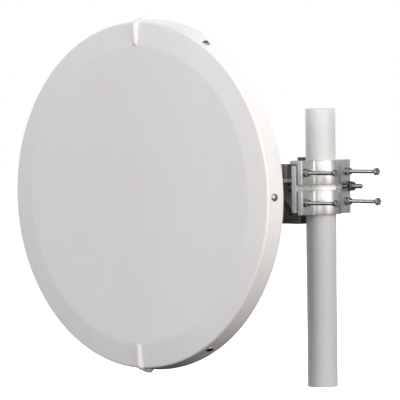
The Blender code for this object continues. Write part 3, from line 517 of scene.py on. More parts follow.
def makeToolLineGroup():
    # lines left by drawing, brushing or sawing: noise squashed along one direction
    tree, nodes, given = newTree("ShaderNodeTree", "toolLines", {
        "Vector": (0, 0, 0), "Squash": (1, 1, 0.02), "Scale": 600.0, "Contrast": 1.0},
        {"Value": "Float", "Height": "Float"})
    pressed = nodes.vector("MULTIPLY", given["Vector"], given["Squash"])
    lines = nodes.noise(pressed, given["Scale"], 3.0, 0.7)
    value = nodes.plus(nodes.times(nodes.minus(lines, 0.5), given["Contrast"]), 0.5)
    nodes.add("NodeGroupOutput", {"Value": value, "Height": lines})
    return tree


def makeTurningGroup():
    # rings about an axis through Centre, from spinning or facing on a lathe
    tree, nodes, given = newTree("ShaderNodeTree", "turningRings", {
        "Vector": (0, 0, 0), "Centre": (0, 0, 0), "Across": (1, 0, 1), "Spacing": 0.002,
        "Irregular": 0.4}, {"Value": "Float"})
    local = nodes.vector("SUBTRACT", given["Vector"], given["Centre"])
    flat = nodes.vector("MULTIPLY", local, given["Across"])
    radius = nodes.add("ShaderNodeVectorMath", {0: flat}, operation="LENGTH")["Value"]
    turns = nodes.over(radius, given["Spacing"])
    wobble = nodes.add("ShaderNodeTexNoise", {"W": turns, "Scale": 0.8, "Detail": 4.0},
                       noise_dimensions="1D")[0]
    regular = nodes.times(nodes.math("SINE", nodes.times(turns, whole)), 0.25)
    loose = nodes.times(nodes.minus(wobble, 0.5), nodes.times(given["Irregular"], 2.0))
    nodes.add("NodeGroupOutput", {"Value": nodes.plus(regular, loose, 0.5)})
    return tree


groups = {"grain": makeGrainGroup(), "stain": makeStainGroup(), "lines": makeToolLineGroup(),
          "rings": makeTurningGroup()}
print("node groups built")


# Materials

class materialBuilder(nodeBuilder):
    # a material with its Principled shader and the object's own coordinates
    def __init__(self, name):
        self.material = bpy.data.materials.new(name)
        self.material.use_nodes = True
        super().__init__(self.material.node_tree)
        self.shader = self.tree.nodes["Principled BSDF"]
        self.spot = self.add("ShaderNodeTexCoord")["Object"]

    def group(self, key, **values):
        return self.add("ShaderNodeGroup", {"Vector": self.spot, **values}, node_tree=groups[key])

    def worn(self, pattern, low, high, less, more, mask, dirtDulls):
        # roughness that follows a pattern, with dull dirt on top
        return self.plus(self.ramp(pattern, low, high, less, more), self.times(mask, dirtDulls))

    def done(self, colour, roughness, metallic, height, distance, strength, others=()):
        normal = self.add("ShaderNodeBump", {
            "Height": height, "Distance": distance, "Strength": strength})[0]
        self.fill(self.shader, {"Base Color": colour, "Roughness": roughness, "Metallic": metallic,
                                "Normal": normal, **dict(others)})
        return self.material


def darker(colour, share):
    return tuple(part * share for part in colour)


def paintedGapLight(paint, place):
    # painted light for the shade between the front jaws: 1 in the gap between them, 0 above and below it
    inside, outside = 0.0055, 0.0085
    away = paint.math("ABSOLUTE", paint.minus(place["Z"], layout["clampMiddle"]))
    return paint.ramp(away, inside, outside, 1.0, 0.0)


def mouldedPlastic(name, base, dirt, dirtAmount, roughness, coat):
    # moulded sheet with a faint orange peel, mottling and rain dirt
    paint = materialBuilder(name)
    stain = paint.group("stain", Clean=base, Dirt=dirt, Amount=dirtAmount, Scale=5.0, Stretch=0.35)
    mottle = paint.ramp(paint.noise(paint.spot, 26.0, 4.0), 0.35, 0.65, 0.0, 0.08)
    grain = paint.group("grain", Scale=700.0, Fine=0.5, Slow=1.0)
    return paint.done(paint.mixColour(mottle, stain["Color"], (0.70, 0.68, 0.66)),
                      paint.ramp(grain["Value"], 0.3, 0.7, roughness - 0.05, roughness + 0.07),
                      0.0, grain["Height"], 0.00012, 0.5,
                      {"Coat Weight": coat, "Coat Roughness": 0.3, "IOR": 1.46})


def drawnAluminium(name, base, roughness, metallic, sawnAt, paintedLightFace=None):
    # extruded aluminium: lines along the press direction, dull patches, matt sawn ends, and where asked,
    # painted light on the face that shows between the front jaws
    paint = materialBuilder(name)
    squash, scale = (1.0, 1.0, 0.02), 700.0
    lines = paint.group("lines", Squash=squash, Scale=scale, Contrast=1.3)
    broad = paint.group("lines", Squash=squash, Scale=scale * 0.3, Contrast=1.2)
    stain = paint.group("stain", Clean=base, Dirt=darker(base, 0.5), Amount=0.3, Scale=34.0, Stretch=0.8)
    shade = paint.plus(paint.ramp(lines["Value"], 0.2, 0.8, 0.0, 0.16),
                       paint.ramp(broad["Value"], 0.3, 0.75, 0.0, 0.30))
    body = paint.mixColour(shade, stain["Color"], darker(base, 0.62))
    rough = paint.worn(lines["Value"], 0.2, 0.8, roughness - 0.07, roughness + 0.09, stain["Mask"], 0.25)
    across = paint.split(paint.spot)
    sawn = paint.ramp(paint.math("ABSOLUTE", across["Y"]), sawnAt - 0.0003, sawnAt)
    cuts = paint.group("lines", Squash=(0.25, 1.0, 1.0), Scale=420.0, Contrast=1.0)
    grey = paint.mixColour(paint.ramp(cuts["Value"], 0.3, 0.7, 0.0, 0.25),
                           (0.78, 0.78, 0.775), (0.55, 0.55, 0.55))
    body = paint.mixColour(sawn, body, grey)
    metal = paint.mixNumber(sawn, metallic, 0.15)
    if paintedLightFace is not None:
        # painted light: the face that shows between the front jaws gets a lighter, less metallic grey,
        # standing in for the light that the gap's shade keeps off
        facing = paint.ramp(across["X"], paintedLightFace - 0.003, paintedLightFace - 0.0015)
        paintedLight = paint.times(paintedGapLight(paint, across), facing)
        body = paint.mixColour(paintedLight, body, (0.58, 0.58, 0.57))
        metal = paint.mixNumber(paintedLight, metal, 0.1)
    return paint.done(body, paint.mixNumber(sawn, rough, 0.62), metal, lines["Height"], 0.00006, 0.6)


def turnedMetal(name, base, spacing, roughness, irregular, dirtAmount):
    # spun or faced metal, with rings about the dish's axis
    paint = materialBuilder(name)
    rings = paint.group("rings", Centre=(layout["dishX"], 0.0, layout["axisHeight"]), Across=(1, 0, 1),
                        Spacing=spacing, Irregular=irregular)["Value"]
    stain = paint.group("stain", Clean=base, Dirt=darker(base, 0.45), Amount=dirtAmount, Scale=14.0,
                        Stretch=0.7)
    shade = paint.ramp(rings, 0.2, 0.8, 0.0, 0.18)
    return paint.done(paint.mixColour(shade, stain["Color"], darker(base, 0.7)),
                      paint.worn(rings, 0.2, 0.8, roughness - 0.06, roughness + 0.08, stain["Mask"], 0.3),
                      1.0, rings, 0.00005, 0.6)


def castMetal(name, base, roughness, leverLow, leverHigh, lugZ, lugX, shadedBelow):
    # sand-cast aluminium with a pitted skin; its dark tone is painted shade for the shade behind the dish,
    # darker still below the lower lug, and the lever band and lug top are painted light
    paint = materialBuilder(name)
    grain = paint.group("grain", Scale=1100.0, Fine=0.8, Slow=1.2)
    pits = paint.add("ShaderNodeTexVoronoi", {"Vector": paint.spot, "Scale": 420.0})["Distance"]
    height = paint.plus(grain["Height"], paint.ramp(pits, 0.05, 0.3, -0.7, 0.0))
    # the dark patches on the dark base stand partly for dirt and partly for the shade behind the dish:
    # painted shade
    stain = paint.group("stain", Clean=base, Dirt=(0.035, 0.032, 0.024), Amount=0.62, Scale=22.0,
                        Stretch=0.8)
    place = paint.split(paint.spot)
    soft = 0.0004
    # painted light: the lever band and the lug's top get a light, less metallic grey where they catch the
    # light
    lever = paint.times(paint.ramp(place["Z"], leverLow - soft, leverLow + soft),
                        paint.ramp(place["Z"], leverHigh - soft, leverHigh + soft, 1.0, 0.0))
    lug = paint.times(paint.ramp(place["Z"], lugZ - soft, lugZ), paint.ramp(place["X"], lugX - soft, lugX))
    paintedLight = paint.math("MAXIMUM", lever, lug)
    # painted shade: below the lower lug the skin is darker still
    low = paint.ramp(place["Z"], shadedBelow - 0.004, shadedBelow + 0.004, 0.6, 0.0)
    skin = paint.mixColour(low, stain["Color"], (0.05, 0.045, 0.035))
    metal = paint.ramp(stain["Mask"], 0.0, 0.8, 0.85, 0.4)
    return paint.done(paint.mixColour(paintedLight, skin, (0.66, 0.66, 0.64)),
                      paint.ramp(grain["Value"], 0.3, 0.7, roughness - 0.08, roughness + 0.1),
                      paint.mixNumber(paintedLight, metal, 0.2), height, 0.00028, 0.8)


def zincPlate(name, base, roughness):
    # hot-dip zinc: flakes of slightly different grey, with white bloom
    paint = materialBuilder(name)
    flakes = paint.add("ShaderNodeTexVoronoi", {"Vector": paint.spot, "Scale": 130.0})["Color"]
    tone = paint.add("ShaderNodeSeparateColor", {0: flakes})[0]
    stain = paint.group("stain", Clean=base, Dirt=tuple(min(part * 1.5, 1) for part in base),
                        Amount=0.4, Scale=16.0, Stretch=0.5)
    grain = paint.group("grain", Scale=500.0, Fine=0.5, Slow=1.0)
    shade = paint.ramp(tone, 0.0, 1.0, 0.0, 0.35)
    return paint.done(paint.mixColour(shade, stain["Color"], darker(base, 0.6)),
                      paint.worn(tone, 0.0, 1.0, roughness - 0.08, roughness + 0.08, stain["Mask"], 0.2),
                      0.85, grain["Height"], 0.00012, 0.6)


def boltSteel(name, base, grime, grimeAmount, roughness):
    # rolled steel of the fasteners, with grime in patches
    paint = materialBuilder(name)
    grain = paint.group("grain", Scale=1600.0, Fine=0.8, Slow=0.8)
    stain = paint.group("stain", Clean=base, Dirt=grime, Amount=grimeAmount, Scale=90.0, Stretch=1.0)
    rough = paint.worn(grain["Value"], 0.3, 0.7, roughness - 0.06, roughness + 0.08, stain["Mask"], 0.3)
    return paint.done(stain["Color"], rough, 1.0, grain["Height"], 0.00004, 0.5)


def polePaint(name, base, roughness):
    # painted tube: faint draw lines, dust, painted shade that darkens it towards the foot, and painted light
    # between the jaws
    paint = materialBuilder(name)
    lines = paint.group("lines", Squash=(1.0, 1.0, 0.015), Scale=260.0, Contrast=1.0)
    stain = paint.group("stain", Clean=base, Dirt=(0.52, 0.50, 0.46), Amount=0.3, Scale=9.0, Stretch=0.15)
    grain = paint.group("grain", Scale=420.0, Fine=0.3, Slow=1.0)
    place = paint.split(paint.spot)
    coat = paint.mixColour(paint.ramp(lines["Value"], 0.3, 0.7, 0.0, 0.1), stain["Color"],
                           darker(base, 0.82))
    # painted shade: the colour darkens from about 0.44 m down to 0.28 m and below
    coat = paint.mixColour(paint.ramp(place["Z"], 0.28, 0.44, 0.75, 0.0), coat, darker(base, 0.76))
    # painted light: between the front jaws the paint is made brighter, lifting the shade that falls in the
    # gap
    coat = paint.mixColour(paintedGapLight(paint, place), coat, (0.93, 0.93, 0.925))
    return paint.done(coat, paint.ramp(lines["Value"], 0.3, 0.7, roughness - 0.06, roughness + 0.08),
                      0.0, grain["Height"], 0.00012, 0.45, {"Coat Weight": 0.10, "Coat Roughness": 0.35})


# each finish with its maker and values; colours are linear, lengths in metres
zincTone, spunTone = (0.38, 0.385, 0.38), (0.72, 0.73, 0.74)
finishes = {
    "radomePlastic": (mouldedPlastic, {
        "base": (0.80, 0.783, 0.778), "dirt": (0.62, 0.59, 0.55), "dirtAmount": 0.22,
        "roughness": 0.42, "coat": 0.15}),
    "clampAluminium": (drawnAluminium, {
        "base": (0.63, 0.625, 0.62), "roughness": 0.40, "metallic": 0.90, "sawnAt": 0.0747}),
    # the rear jaw's copy of the clamp aluminium is lighter and more matt, partly painted light so that its
    # faces in the shaded gap read lighter
    "rearJawAluminium": (drawnAluminium, {
        "base": (0.69, 0.69, 0.68), "roughness": 0.55, "metallic": 0.45, "sawnAt": 0.0747,
        "paintedLightFace": -0.001}),
    # the yoke's dark tone and darker foot are painted shade, its lever band and lug top painted light
    "yokeCasting": (castMetal, {
        "base": (0.33, 0.325, 0.30), "roughness": 0.52, "leverLow": 0.4078, "leverHigh": 0.4162,
        "lugZ": 0.4443, "lugX": -0.067, "shadedBelow": 0.341}),
    "bracketZinc": (zincPlate, {"base": zincTone, "roughness": 0.45}),
    "weldZinc": (zincPlate, {"base": darker(zincTone, 0.8), "roughness": 0.55}),
    "brightSteel": (boltSteel, {
        "base": (0.40, 0.39, 0.375), "grime": (0.20, 0.17, 0.13), "grimeAmount": 0.3, "roughness": 0.22}),
    "darkSteel": (boltSteel, {
        "base": (0.15, 0.145, 0.145), "grime": (0.05, 0.04, 0.03), "grimeAmount": 0.6, "roughness": 0.36}),
    "screwSteel": (boltSteel, {
        "base": (0.32, 0.31, 0.30), "grime": (0.12, 0.10, 0.08), "grimeAmount": 0.4, "roughness": 0.30}),
    "studSteel": (boltSteel, {
        "base": (0.30, 0.295, 0.30), "grime": (0.12, 0.11, 0.10), "grimeAmount": 0.5, "roughness": 0.36}),
    "polePaintWhite": (polePaint, {"base": (0.67, 0.67, 0.67), "roughness": 0.50}),
    "bowlAluminium": (turnedMetal, {
        "base": spunTone, "spacing": 0.0035, "roughness": 0.44, "irregular": 0.6, "dirtAmount": 0.3}),
    "hubAluminium": (turnedMetal, {
        "base": spunTone, "spacing": 0.0012, "roughness": 0.30, "irregular": 0.4, "dirtAmount": 0.2}),
    "plugPlastic": (mouldedPlastic, {
        "base": (0.10, 0.10, 0.105), "dirt": (0.25, 0.24, 0.22), "dirtAmount": 0.35,
        "roughness": 0.5, "coat": 0.0}),
}
materials = {name: make(name, **values) for name, (make, values) in finishes.items()}
print("materials built")


# The radome

radomeValues = {
    "edgeRadius": 0.345, "skirtRadius": 0.3498, "skirtDepth": 0.0389, "faceRadius": 0.296,
    "faceRise": 0.0055, "faceHollow": 0.0015, "edgeRounding": 0.0045, "wall": 0.003,
    "creaseSoftness": 0.0045, "stepsAround": 220, "bandStart": 82,
    "ribWidth": 0.0130, "ribFront": 0.0095, "ribStart": 0.2955, "ribRunIn": 0.0125,
    "ribTurn": -0.25, "ribCorner": (0.3355, 0.0035, 0.013), "ribSharpness": 0.60,
    "ribCrest": ((0.0035, 0.3485), (0.010, 0.3518), (0.018, 0.3546), (0.026, 0.3554), (0.0305, 0.3557)),
    "ribPastCrest": 0.0009, "ribRunOut": 0.0025, "ribSteps": 17, "ribStep": 0.12, "ribMargin": 0.5,
}
# middle of the rounding between skirt and band, as radius and height
roundingMiddle = (radomeValues["edgeRadius"] - radomeValues["edgeRounding"],
                  radomeValues["edgeRounding"] - 0.0005)


def radomeSkirtRadius(depth):
    v = radomeValues
    share = (depth - v["edgeRounding"]) / (v["skirtDepth"] - v["edgeRounding"])
    return v["edgeRadius"] + (v["skirtRadius"] - v["edgeRadius"]) * share


def radomeCorner(degrees):
    angle = math.radians(degrees)
    return (roundingMiddle[0] + radomeValues["edgeRounding"] * math.cos(angle),
            roundingMiddle[1] - radomeValues["edgeRounding"] * math.sin(angle))


def radomeHollow(radius):
    return radomeValues["faceHollow"] * max(1 - (radius / radomeValues["faceRadius"]) ** 2, 0.0)


def radomeFront(radius):
    # height of the hollow face, the soft crease and the sloping band
    v = radomeValues
    bandRadius, bandHeight = radomeCorner(v["bandStart"])
    slope = (bandHeight + v["faceRise"]) / (bandRadius - v["faceRadius"])
    out, soft = radius - v["faceRadius"], v["creaseSoftness"]
    if out >= soft:
        return -v["faceRise"] + slope * out
    return -v["faceRise"] + slope * max(out + soft, 0.0) ** 2 / (4 * soft) + radomeHollow(radius)


def radomeProfile():
    # outer side from the skirt's rear edge to the middle, then the inner side back
    v = radomeValues
    rim, wall = v["skirtDepth"], v["wall"]
    points = [(v["skirtRadius"] - 0.0022, rim), (v["skirtRadius"] - 0.0006, rim)]
    for depth in (rim - 0.0007, 0.0345, 0.0314, 0.0310, 0.0305, 0.0297, 0.0285, 0.026, 0.022, 0.018,
                  0.0145, 0.011, 0.008, 0.0055):
        points.append((radomeSkirtRadius(depth), depth))
    points += [radomeCorner(-2 + i * 10.5) for i in range(9)]
    outward = [0.337, 0.333, 0.328, 0.323, 0.318, 0.313, 0.308, 0.305, 0.3025]
    outward += [0.3013 - i * 0.0011 for i in range(10)]
    outward += [0.2890 * (1 - i / 14) for i in range(15)]
    points += [(radius, radomeFront(radius)) for radius in outward]
    points += [(radius, wall - v["faceRise"] + radomeHollow(radius))
               for radius in (0.0, 0.15, v["faceRadius"] - 0.001)]
    points += [(v["edgeRadius"] - 2 * wall, wall), (radomeSkirtRadius(0.0075) - wall, 0.0075),
               (v["skirtRadius"] - wall, rim - 0.0007)]
    return points


def radomeAngles():
    # close steps where the two moulded ribs cross the rim
    v = radomeValues
    middles = [math.radians(v["ribTurn"] + middle) for middle in (90, 270)]
    step, reach = math.radians(v["ribStep"]), v["ribSteps"]
    fine = [middle + i * step for middle in middles for i in range(-reach, reach + 1)]
    coarse = [whole * i / v["stepsAround"] for i in range(v["stepsAround"])]
    gap = reach * step + math.radians(v["ribMargin"])
    kept = [a for a in coarse if min(abs(a - middle) for middle in middles) > gap]
    return sorted(kept + fine)


def ribCrest(radius, height):
    # where the rib's crest stands over this point of the rim, and how much of it is left there
    v = radomeValues
    cornerR, cornerH, bend = v["ribCorner"]
    if height > roundingMiddle[1]:
        depths, radii = zip(*v["ribCrest"])
        crest = float(np.interp(height, depths, radii))
        end = depths[-1] + v["ribPastCrest"] - height
        return crest, height, math.sqrt(min(max(end / v["ribRunOut"], 0.0), 1.0))
    bandRadius = radomeCorner(v["bandStart"])[0]
    if radius > bandRadius - 1e-6:
        angle = math.atan2(roundingMiddle[1] - height, radius - roundingMiddle[0])
        return cornerR + bend * math.cos(angle), cornerH - bend * math.sin(angle), 1.0
    start = v["ribStart"] + v["ribRunIn"]
    share = max(radius - start, 0.0) / (bandRadius - start)
    crest = radius if radius < start else start + (cornerR - start) * share
    left = min(max((radius - v["ribStart"]) / v["ribRunIn"], 0.0), 1.0)
    return crest, -v["ribFront"], math.sin(left * quarter)


def ribLift(radius, height, angle, outside):
    v = radomeValues
    aside = abs(radius * math.cos(angle - math.radians(v["ribTurn"]))) / (v["ribWidth"] / 2)
    if not outside or radius < v["ribStart"] or aside >= 1.0:
        return radius, height
    crestR, crestH, left = ribCrest(radius, height)
    share = left * (1 - aside * aside) ** v["ribSharpness"]
    return radius + (crestR - radius) * share, height + (crestH - height) * share


def makeRadome():
    profile = radomeProfile()
    wallStart = next(i for i in range(1, len(profile)) if profile[i][0] == 0.0) + 1
    order = {}
    for i, point in enumerate(profile):
        order.setdefault((round(point[0], 9), round(point[1], 9)), i)

    def shape(radius, height, angle):
        outside = order[(round(radius, 9), round(height, 9))] < wallStart
        return ribLift(radius, height, angle, outside)

    form = turnedForm(profile, 0, True, dishToWorld, radomeAngles(), shape)
    dress(itemFrom("radomeShell", form, 50.0), "radomePlastic", "dish",
          ["radome_face", "radome_rim"])


makeRadome()
print("radome built")


# The reflector

reflectorValues = {"Hole Radius": 0.0303, "Flat Radius": 0.100, "Bowl Radius": 0.3365,
                   "Depth": 0.122, "Aperture Height": 0.0117, "Lip Front Radius": 0.3420,
                   "Lip Back Radius": 0.3453, "Lip End": 0.0358, "Steps Around": 192,
                   "Steps Out": 90}
reflectorWall = 0.0024


def makeReflector():
    bowl = runTree("reflectorBowl", makeBowlTree(), {
        **reflectorValues, "Material": materials["bowlAluminium"]})
    form = bmesh.new()
    form.from_mesh(bowl.data)
    bmesh.ops.recalc_face_normals(form, faces=form.faces)
    middle = min(form.faces, key=lambda face: face.calc_center_median().xy.length)
    if middle.normal.z > 0:
        bmesh.ops.reverse_faces(form, faces=form.faces)
    form.to_mesh(bowl.data)
    form.free()
    # normals look forward, out of the bowl, and the wall grows away from them
    thick = bowl.modifiers.new("wall", "SOLIDIFY")
    thick.thickness = reflectorWall
    thick.offset = -1.0
    thick.use_even_offset = True
    placed(bowl, dishToWorld, 45.0)
    dress(bowl, "bowlAluminium", "dish", ["reflector"])


makeReflector()
print("reflector built")


# Screws, bolts and nuts

threadTree, gridTree, ringTree, weldTree = (makeThreadTree(), makeGridTree(), makeRingTree(),
                                            makeWeldTree())
sizes = {
    "m8": {"radius": 0.004, "corner": 0.0080, "head": 0.0058, "nut": 0.0074, "washer": 0.0084,
           "pitch": 0.00125},
    "m10": {"radius": 0.005, "corner": 0.0098, "head": 0.0064, "nut": 0.008, "washer": 0.010,
            "pitch": 0.0015},
}
boltValues = {"seat": 0.0003, "collarShare": 0.82, "collarHeight": 0.0005, "threadPlay": 0.00003,
              "chamfer": 0.0012, "sides": 20}
washerThickness = 0.0016
# heights are shares of a washer's thickness; lockWidth is the split washer's share of the nut's width
nutValues = {"flat": 0.62, "lock": 0.9, "seat": 1.3, "shorter": 0.3, "lockWidth": 0.84}
# boreEdge goes outwards and down; dish is its outer and inner share of the flat top, and its depth
hexValues = {"steps": 72, "chamferStart": 0.97, "chamferSlope": math.tan(math.radians(28)),
             "boreEdge": (0.0007, 0.0006), "dish": (0.78, 0.66, 0.0004), "smooth": 28.0}


def hexRadius(corner, angle):
    flat = corner * math.cos(math.pi / 6)
    return flat / math.cos((angle % (math.pi / 3)) - math.pi / 6)


def hexForm(corner, base, height, bore=None):
    # hexagon with the corners turned off to a cone: a nut with a bore, or a head dished on top
    v = hexValues
    form = bmesh.new()
    face = corner * math.cos(math.pi / 6) * v["chamferStart"]
    top = base + height
    # each ring: its radius, or None for the hexagon's edge; its height; how the cone moves it
    if bore:
        wider, deep = bore + v["boreEdge"][0], v["boreEdge"][1]
        rings = [(bore, base + deep, 0), (wider, base, 0), (face, base, 0), (None, base, 1),
                 (None, top, -1), (face, top, 0), (wider, top, 0), (bore, top - deep, 0)]
    else:
        outer, inner, deep = v["dish"]
        rings = [(None, base, 0), (None, top, -1), (face, top, 0), (face * outer, top, 0),
                 (face * inner, top - deep, 0)]
    rows = []
    for radius, level, side in rings:
        row = []
        for i in range(v["steps"]):
            angle = whole * (i + 0.5) / v["steps"]
            r = hexRadius(corner, angle) if radius is None else radius
            z = level + side * max(r - face, 0.0) * v["chamferSlope"]
            row.append(form.verts.new((r * math.cos(angle), r * math.sin(angle), z)))
        rows.append(row)
    for low, high in zip(rows, rows[1:]):
        bridge(form, low, high)
    if bore:
        bridge(form, rows[-1], rows[0])
    else:
        form.faces.new(rows[0][::-1])
        form.faces.new(rows[-1])
    return form


def makeThread(name, radius, length, pitch, plain, chamfer, sides, finish):
    return runTree(name, threadTree, {
        "Radius": radius, "Length": length, "Pitch": pitch, "Depth": pitch * 0.5, "Plain Length": plain,
        "Chamfer": chamfer, "Sides": sides, "Material": materials[finish]})


def makeBolt(name, size, length, plain, finish):
    # head above z = 0, thread below
    s, v = sizes[size], boltValues
    collar, high = s["corner"] * v["collarShare"], v["collarHeight"]
    head = hexForm(s["corner"], v["seat"], s["head"] - v["seat"])
    parts = [itemFrom(name + "Head", head, hexValues["smooth"]),
             turned(name + "Collar", [(0.0, 0.0), (collar, 0.0), (collar, high), (0.0, high)], 40,
                    closed=False),
             makeThread(name + "Thread", s["radius"] - v["threadPlay"], length, s["pitch"], plain,
                        v["chamfer"], v["sides"], finish)]
    return joined(name, parts)


def makeLockWasher(name, inner, outer, bottom, height):
    # split ring, a little open at its cut
    form = bmesh.new()
    steps, opening, spring, cutOff = 44, 6, 0.0002, 0.0003
    rows = []
    for i in range(steps + 1):
        angle = math.radians(opening + (360 - 2 * opening) * i / steps)
        low = bottom + spring * i / steps
        high = low + height - cutOff
        rows.append([form.verts.new((r * math.cos(angle), r * math.sin(angle), z))
                     for r, z in ((inner, low), (outer, low), (outer, high), (inner, high))])
    for first, second in zip(rows, rows[1:]):
        bridge(form, first, second)
    form.faces.new(rows[0])
    form.faces.new(rows[-1][::-1])
    return itemFrom(name, form, hexValues["smooth"])


def makeNut(name, size, bore):
    # flat washer, split washer and nut, standing on z = 0
    s, v = sizes[size], nutValues
    flat = washerThickness * v["flat"]
    edge = min(0.00035, flat / 3)
    inner, outer = bore + 0.0002, s["washer"]
    profile = [(inner, 0.0), (outer - edge, 0.0), (outer, edge), (outer, flat - edge), (outer - edge, flat),
               (inner + edge, flat), (inner, flat - edge)]
    body = hexForm(s["corner"], washerThickness * v["seat"], s["nut"] - washerThickness * v["shorter"], bore)
    parts = [itemFrom(name + "Washer", turnedForm(profile, 40), hexValues["smooth"]),
             makeLockWasher(name + "Lock", bore + 0.0001, s["corner"] * v["lockWidth"], flat,
                            washerThickness * v["lock"]),
             itemFrom(name + "Body", body, hexValues["smooth"])]
    return joined(name, parts)


def setOut(name, source, values, finish, body, replaced):
    # copies of one piece at the corners of a grid; the piece itself then goes
    piece = runTree(name, gridTree, {"Fastener": source, "Material": materials[finish], **values})
    dress(piece, finish, body, replaced)
    discard(source)


clampValues = {"boltSpread": 0.128, "levelSpread": 0.060, "headX": 0.0893, "tipX": -0.016,
               "flangeX": 0.0148, "lowerShift": 0.0028, "plain": 0.006, "bore": 0.0041, "spin": 0.5}


def makeClampFasteners():
    v = clampValues
    corners = [f"{level}_{hand}" for level in ("upper", "lower") for hand in ("left", "right")]
    common = {"Width": v["levelSpread"], "Height": v["boltSpread"], "Plane Turn": (0.0, quarter, 0.0),
              "Fastener Turn": (0.0, quarter, 0.0), "Random Spin": v["spin"]}
    bolt = makeBolt("clampBoltMaster", "m8", v["headX"] - v["tipX"], v["plain"], "brightSteel")
    setOut("clampBolts", bolt, {**common, "Seed": 4, "Centre": (v["headX"], 0.0, layout["clampMiddle"]),
                                "Lower Row Shift": (v["lowerShift"], 0.0, 0.0)},
           "brightSteel", "pole_mount", ["clamp_bolt_" + c for c in corners])
    nut = makeNut("clampNutMaster", "m8", v["bore"])
    setOut("clampNuts", nut, {**common, "Seed": 9, "Centre": (v["flangeX"], 0.0, layout["clampMiddle"])},
           "brightSteel", "pole_mount", ["clamp_nut_" + c for c in corners])


hubValues = {"boltX": 0.140, "boltZ": 0.080, "headY": -0.1442, "length": 0.0145, "plain": 0.001,
             "spin": 0.5, "seed": 7}


def makeHubBolts():
    v = hubValues
    bolt = makeBolt("hubBoltMaster", "m8", v["length"], v["plain"], "brightSteel")
    setOut("hubBolts", bolt, {
        "Width": v["boltX"], "Height": v["boltZ"], "Plane Turn": (quarter, 0.0, 0.0),
        "Fastener Turn": (-quarter, 0.0, 0.0), "Random Spin": v["spin"], "Seed": v["seed"],
        "Centre": (layout["dishX"], v["headY"], layout["axisHeight"])},
        "brightSteel", "dish", [f"hub_bolt_{i}" for i in range(1, 5)])


rimScrewValues = {"count": 6, "depth": 0.0155, "headRadius": 0.0075, "dome": 0.0040,
                  "shank": 0.003, "length": 0.0068, "rim": 0.0006, "slotHalf": (0.0026, 0.0005),
                  "slotDepth": 0.0018}


def makeRimScrews():
    v = rimScrewValues
    head, shank, length, rim = v["headRadius"], v["shank"], v["length"], v["rim"]
    profile = [(0.0, v["dome"])]
    for i in range(1, 9):
        angle = math.radians(90 - i * 10)
        profile.append((head * math.cos(angle), rim + (v["dome"] - rim) * math.sin(angle)))
    profile += [(head, 0.0005), (head - 0.0003, 0.00015), (shank, 0.00015), (shank, -length + 0.0008),
                (shank - 0.0008, -length), (0.0, -length)]
    screw = turned("rimScrewHead", profile, 36, closed=False)
    x, y = v["slotHalf"]
    cut(screw, [extruded("rimScrewSlot", [(-x, -y), (x, -y), (x, y), (-x, y)], 2 * v["slotDepth"],
                         turnedBy(turn, "Z") @ shifted(0, 0, v["dome"])) for turn in (0.0, quarter)])
    slope = math.atan2(radomeValues["skirtRadius"] - radomeValues["edgeRadius"],
                       radomeValues["skirtDepth"] - radomeValues["edgeRounding"])
    ring = runTree("rimScrews", ringTree, {
        "Piece": screw, "Count": v["count"], "Radius": radomeSkirtRadius(v["depth"]),
        "Height": v["depth"], "Lean": -slope, "Material": materials["screwSteel"]})
    dress(placed(ring, dishToWorld, 30.0), "screwSteel", "dish",
          [f"rim_screw_{i}" for i in range(1, 7)])
    discard(screw)


makeClampFasteners()
makeHubBolts()
makeRimScrews()
print("repeated fasteners built")


yokeFastenerValues = {"pivot": (0.0, 0.398), "lock": (0.022, 0.352), "headX": -0.0797,
                      "nutX": -0.0946, "pastNut": 0.003, "plain": 0.004, "hingeTop": 0.4533,
                      "hingeLength": 0.1272, "hingePlain": 0.006, "hingeSpin": 0.35}


def makeYokeFasteners():
    v = yokeFastenerValues
    for label, size in (("pivot", "m10"), ("lock", "m8")):
        y, z = v[label]
        title = "elevation" + label.title()
        reach = v["headX"] - v["nutX"] + washerThickness + sizes[size]["nut"] + v["pastNut"]
        bolt = makeBolt(title + "Bolt", size, reach, v["plain"], "brightSteel")
        dress(placed(bolt, shifted(v["headX"], y, z) @ alongX),
              "brightSteel", "yoke", [f"elevation_{label}_bolt"])
        nut = makeNut(title + "Nut", size, sizes[size]["radius"] + 0.0001)
        dress(placed(nut, shifted(v["nutX"], y, z) @ alongMinusX),
              "brightSteel", "yoke", [f"elevation_{label}_nut"])
    hinge = makeBolt("hingeBolt", "m10", v["hingeLength"], v["hingePlain"], "darkSteel")
    dress(placed(hinge, shifted(*layout["hinge"], v["hingeTop"]) @ turnedBy(v["hingeSpin"], "Z")),
          "darkSteel", "yoke", ["hinge_bolt"])


adjusterValues = {"eyeRadius": 0.011, "eyeHalf": 0.005, "eyeRounding": 0.002, "pinRadius": 0.004,
                  "tipX": 0.0455, "neckStart": 0.72, "neckLength": 0.010, "thread": 0.00495,
                  "nutFrontX": 0.0148, "nutRearX": -0.0133, "nutBore": 0.0056, "nutSpin": 0.26,
                  "leverTop": 0.4158}


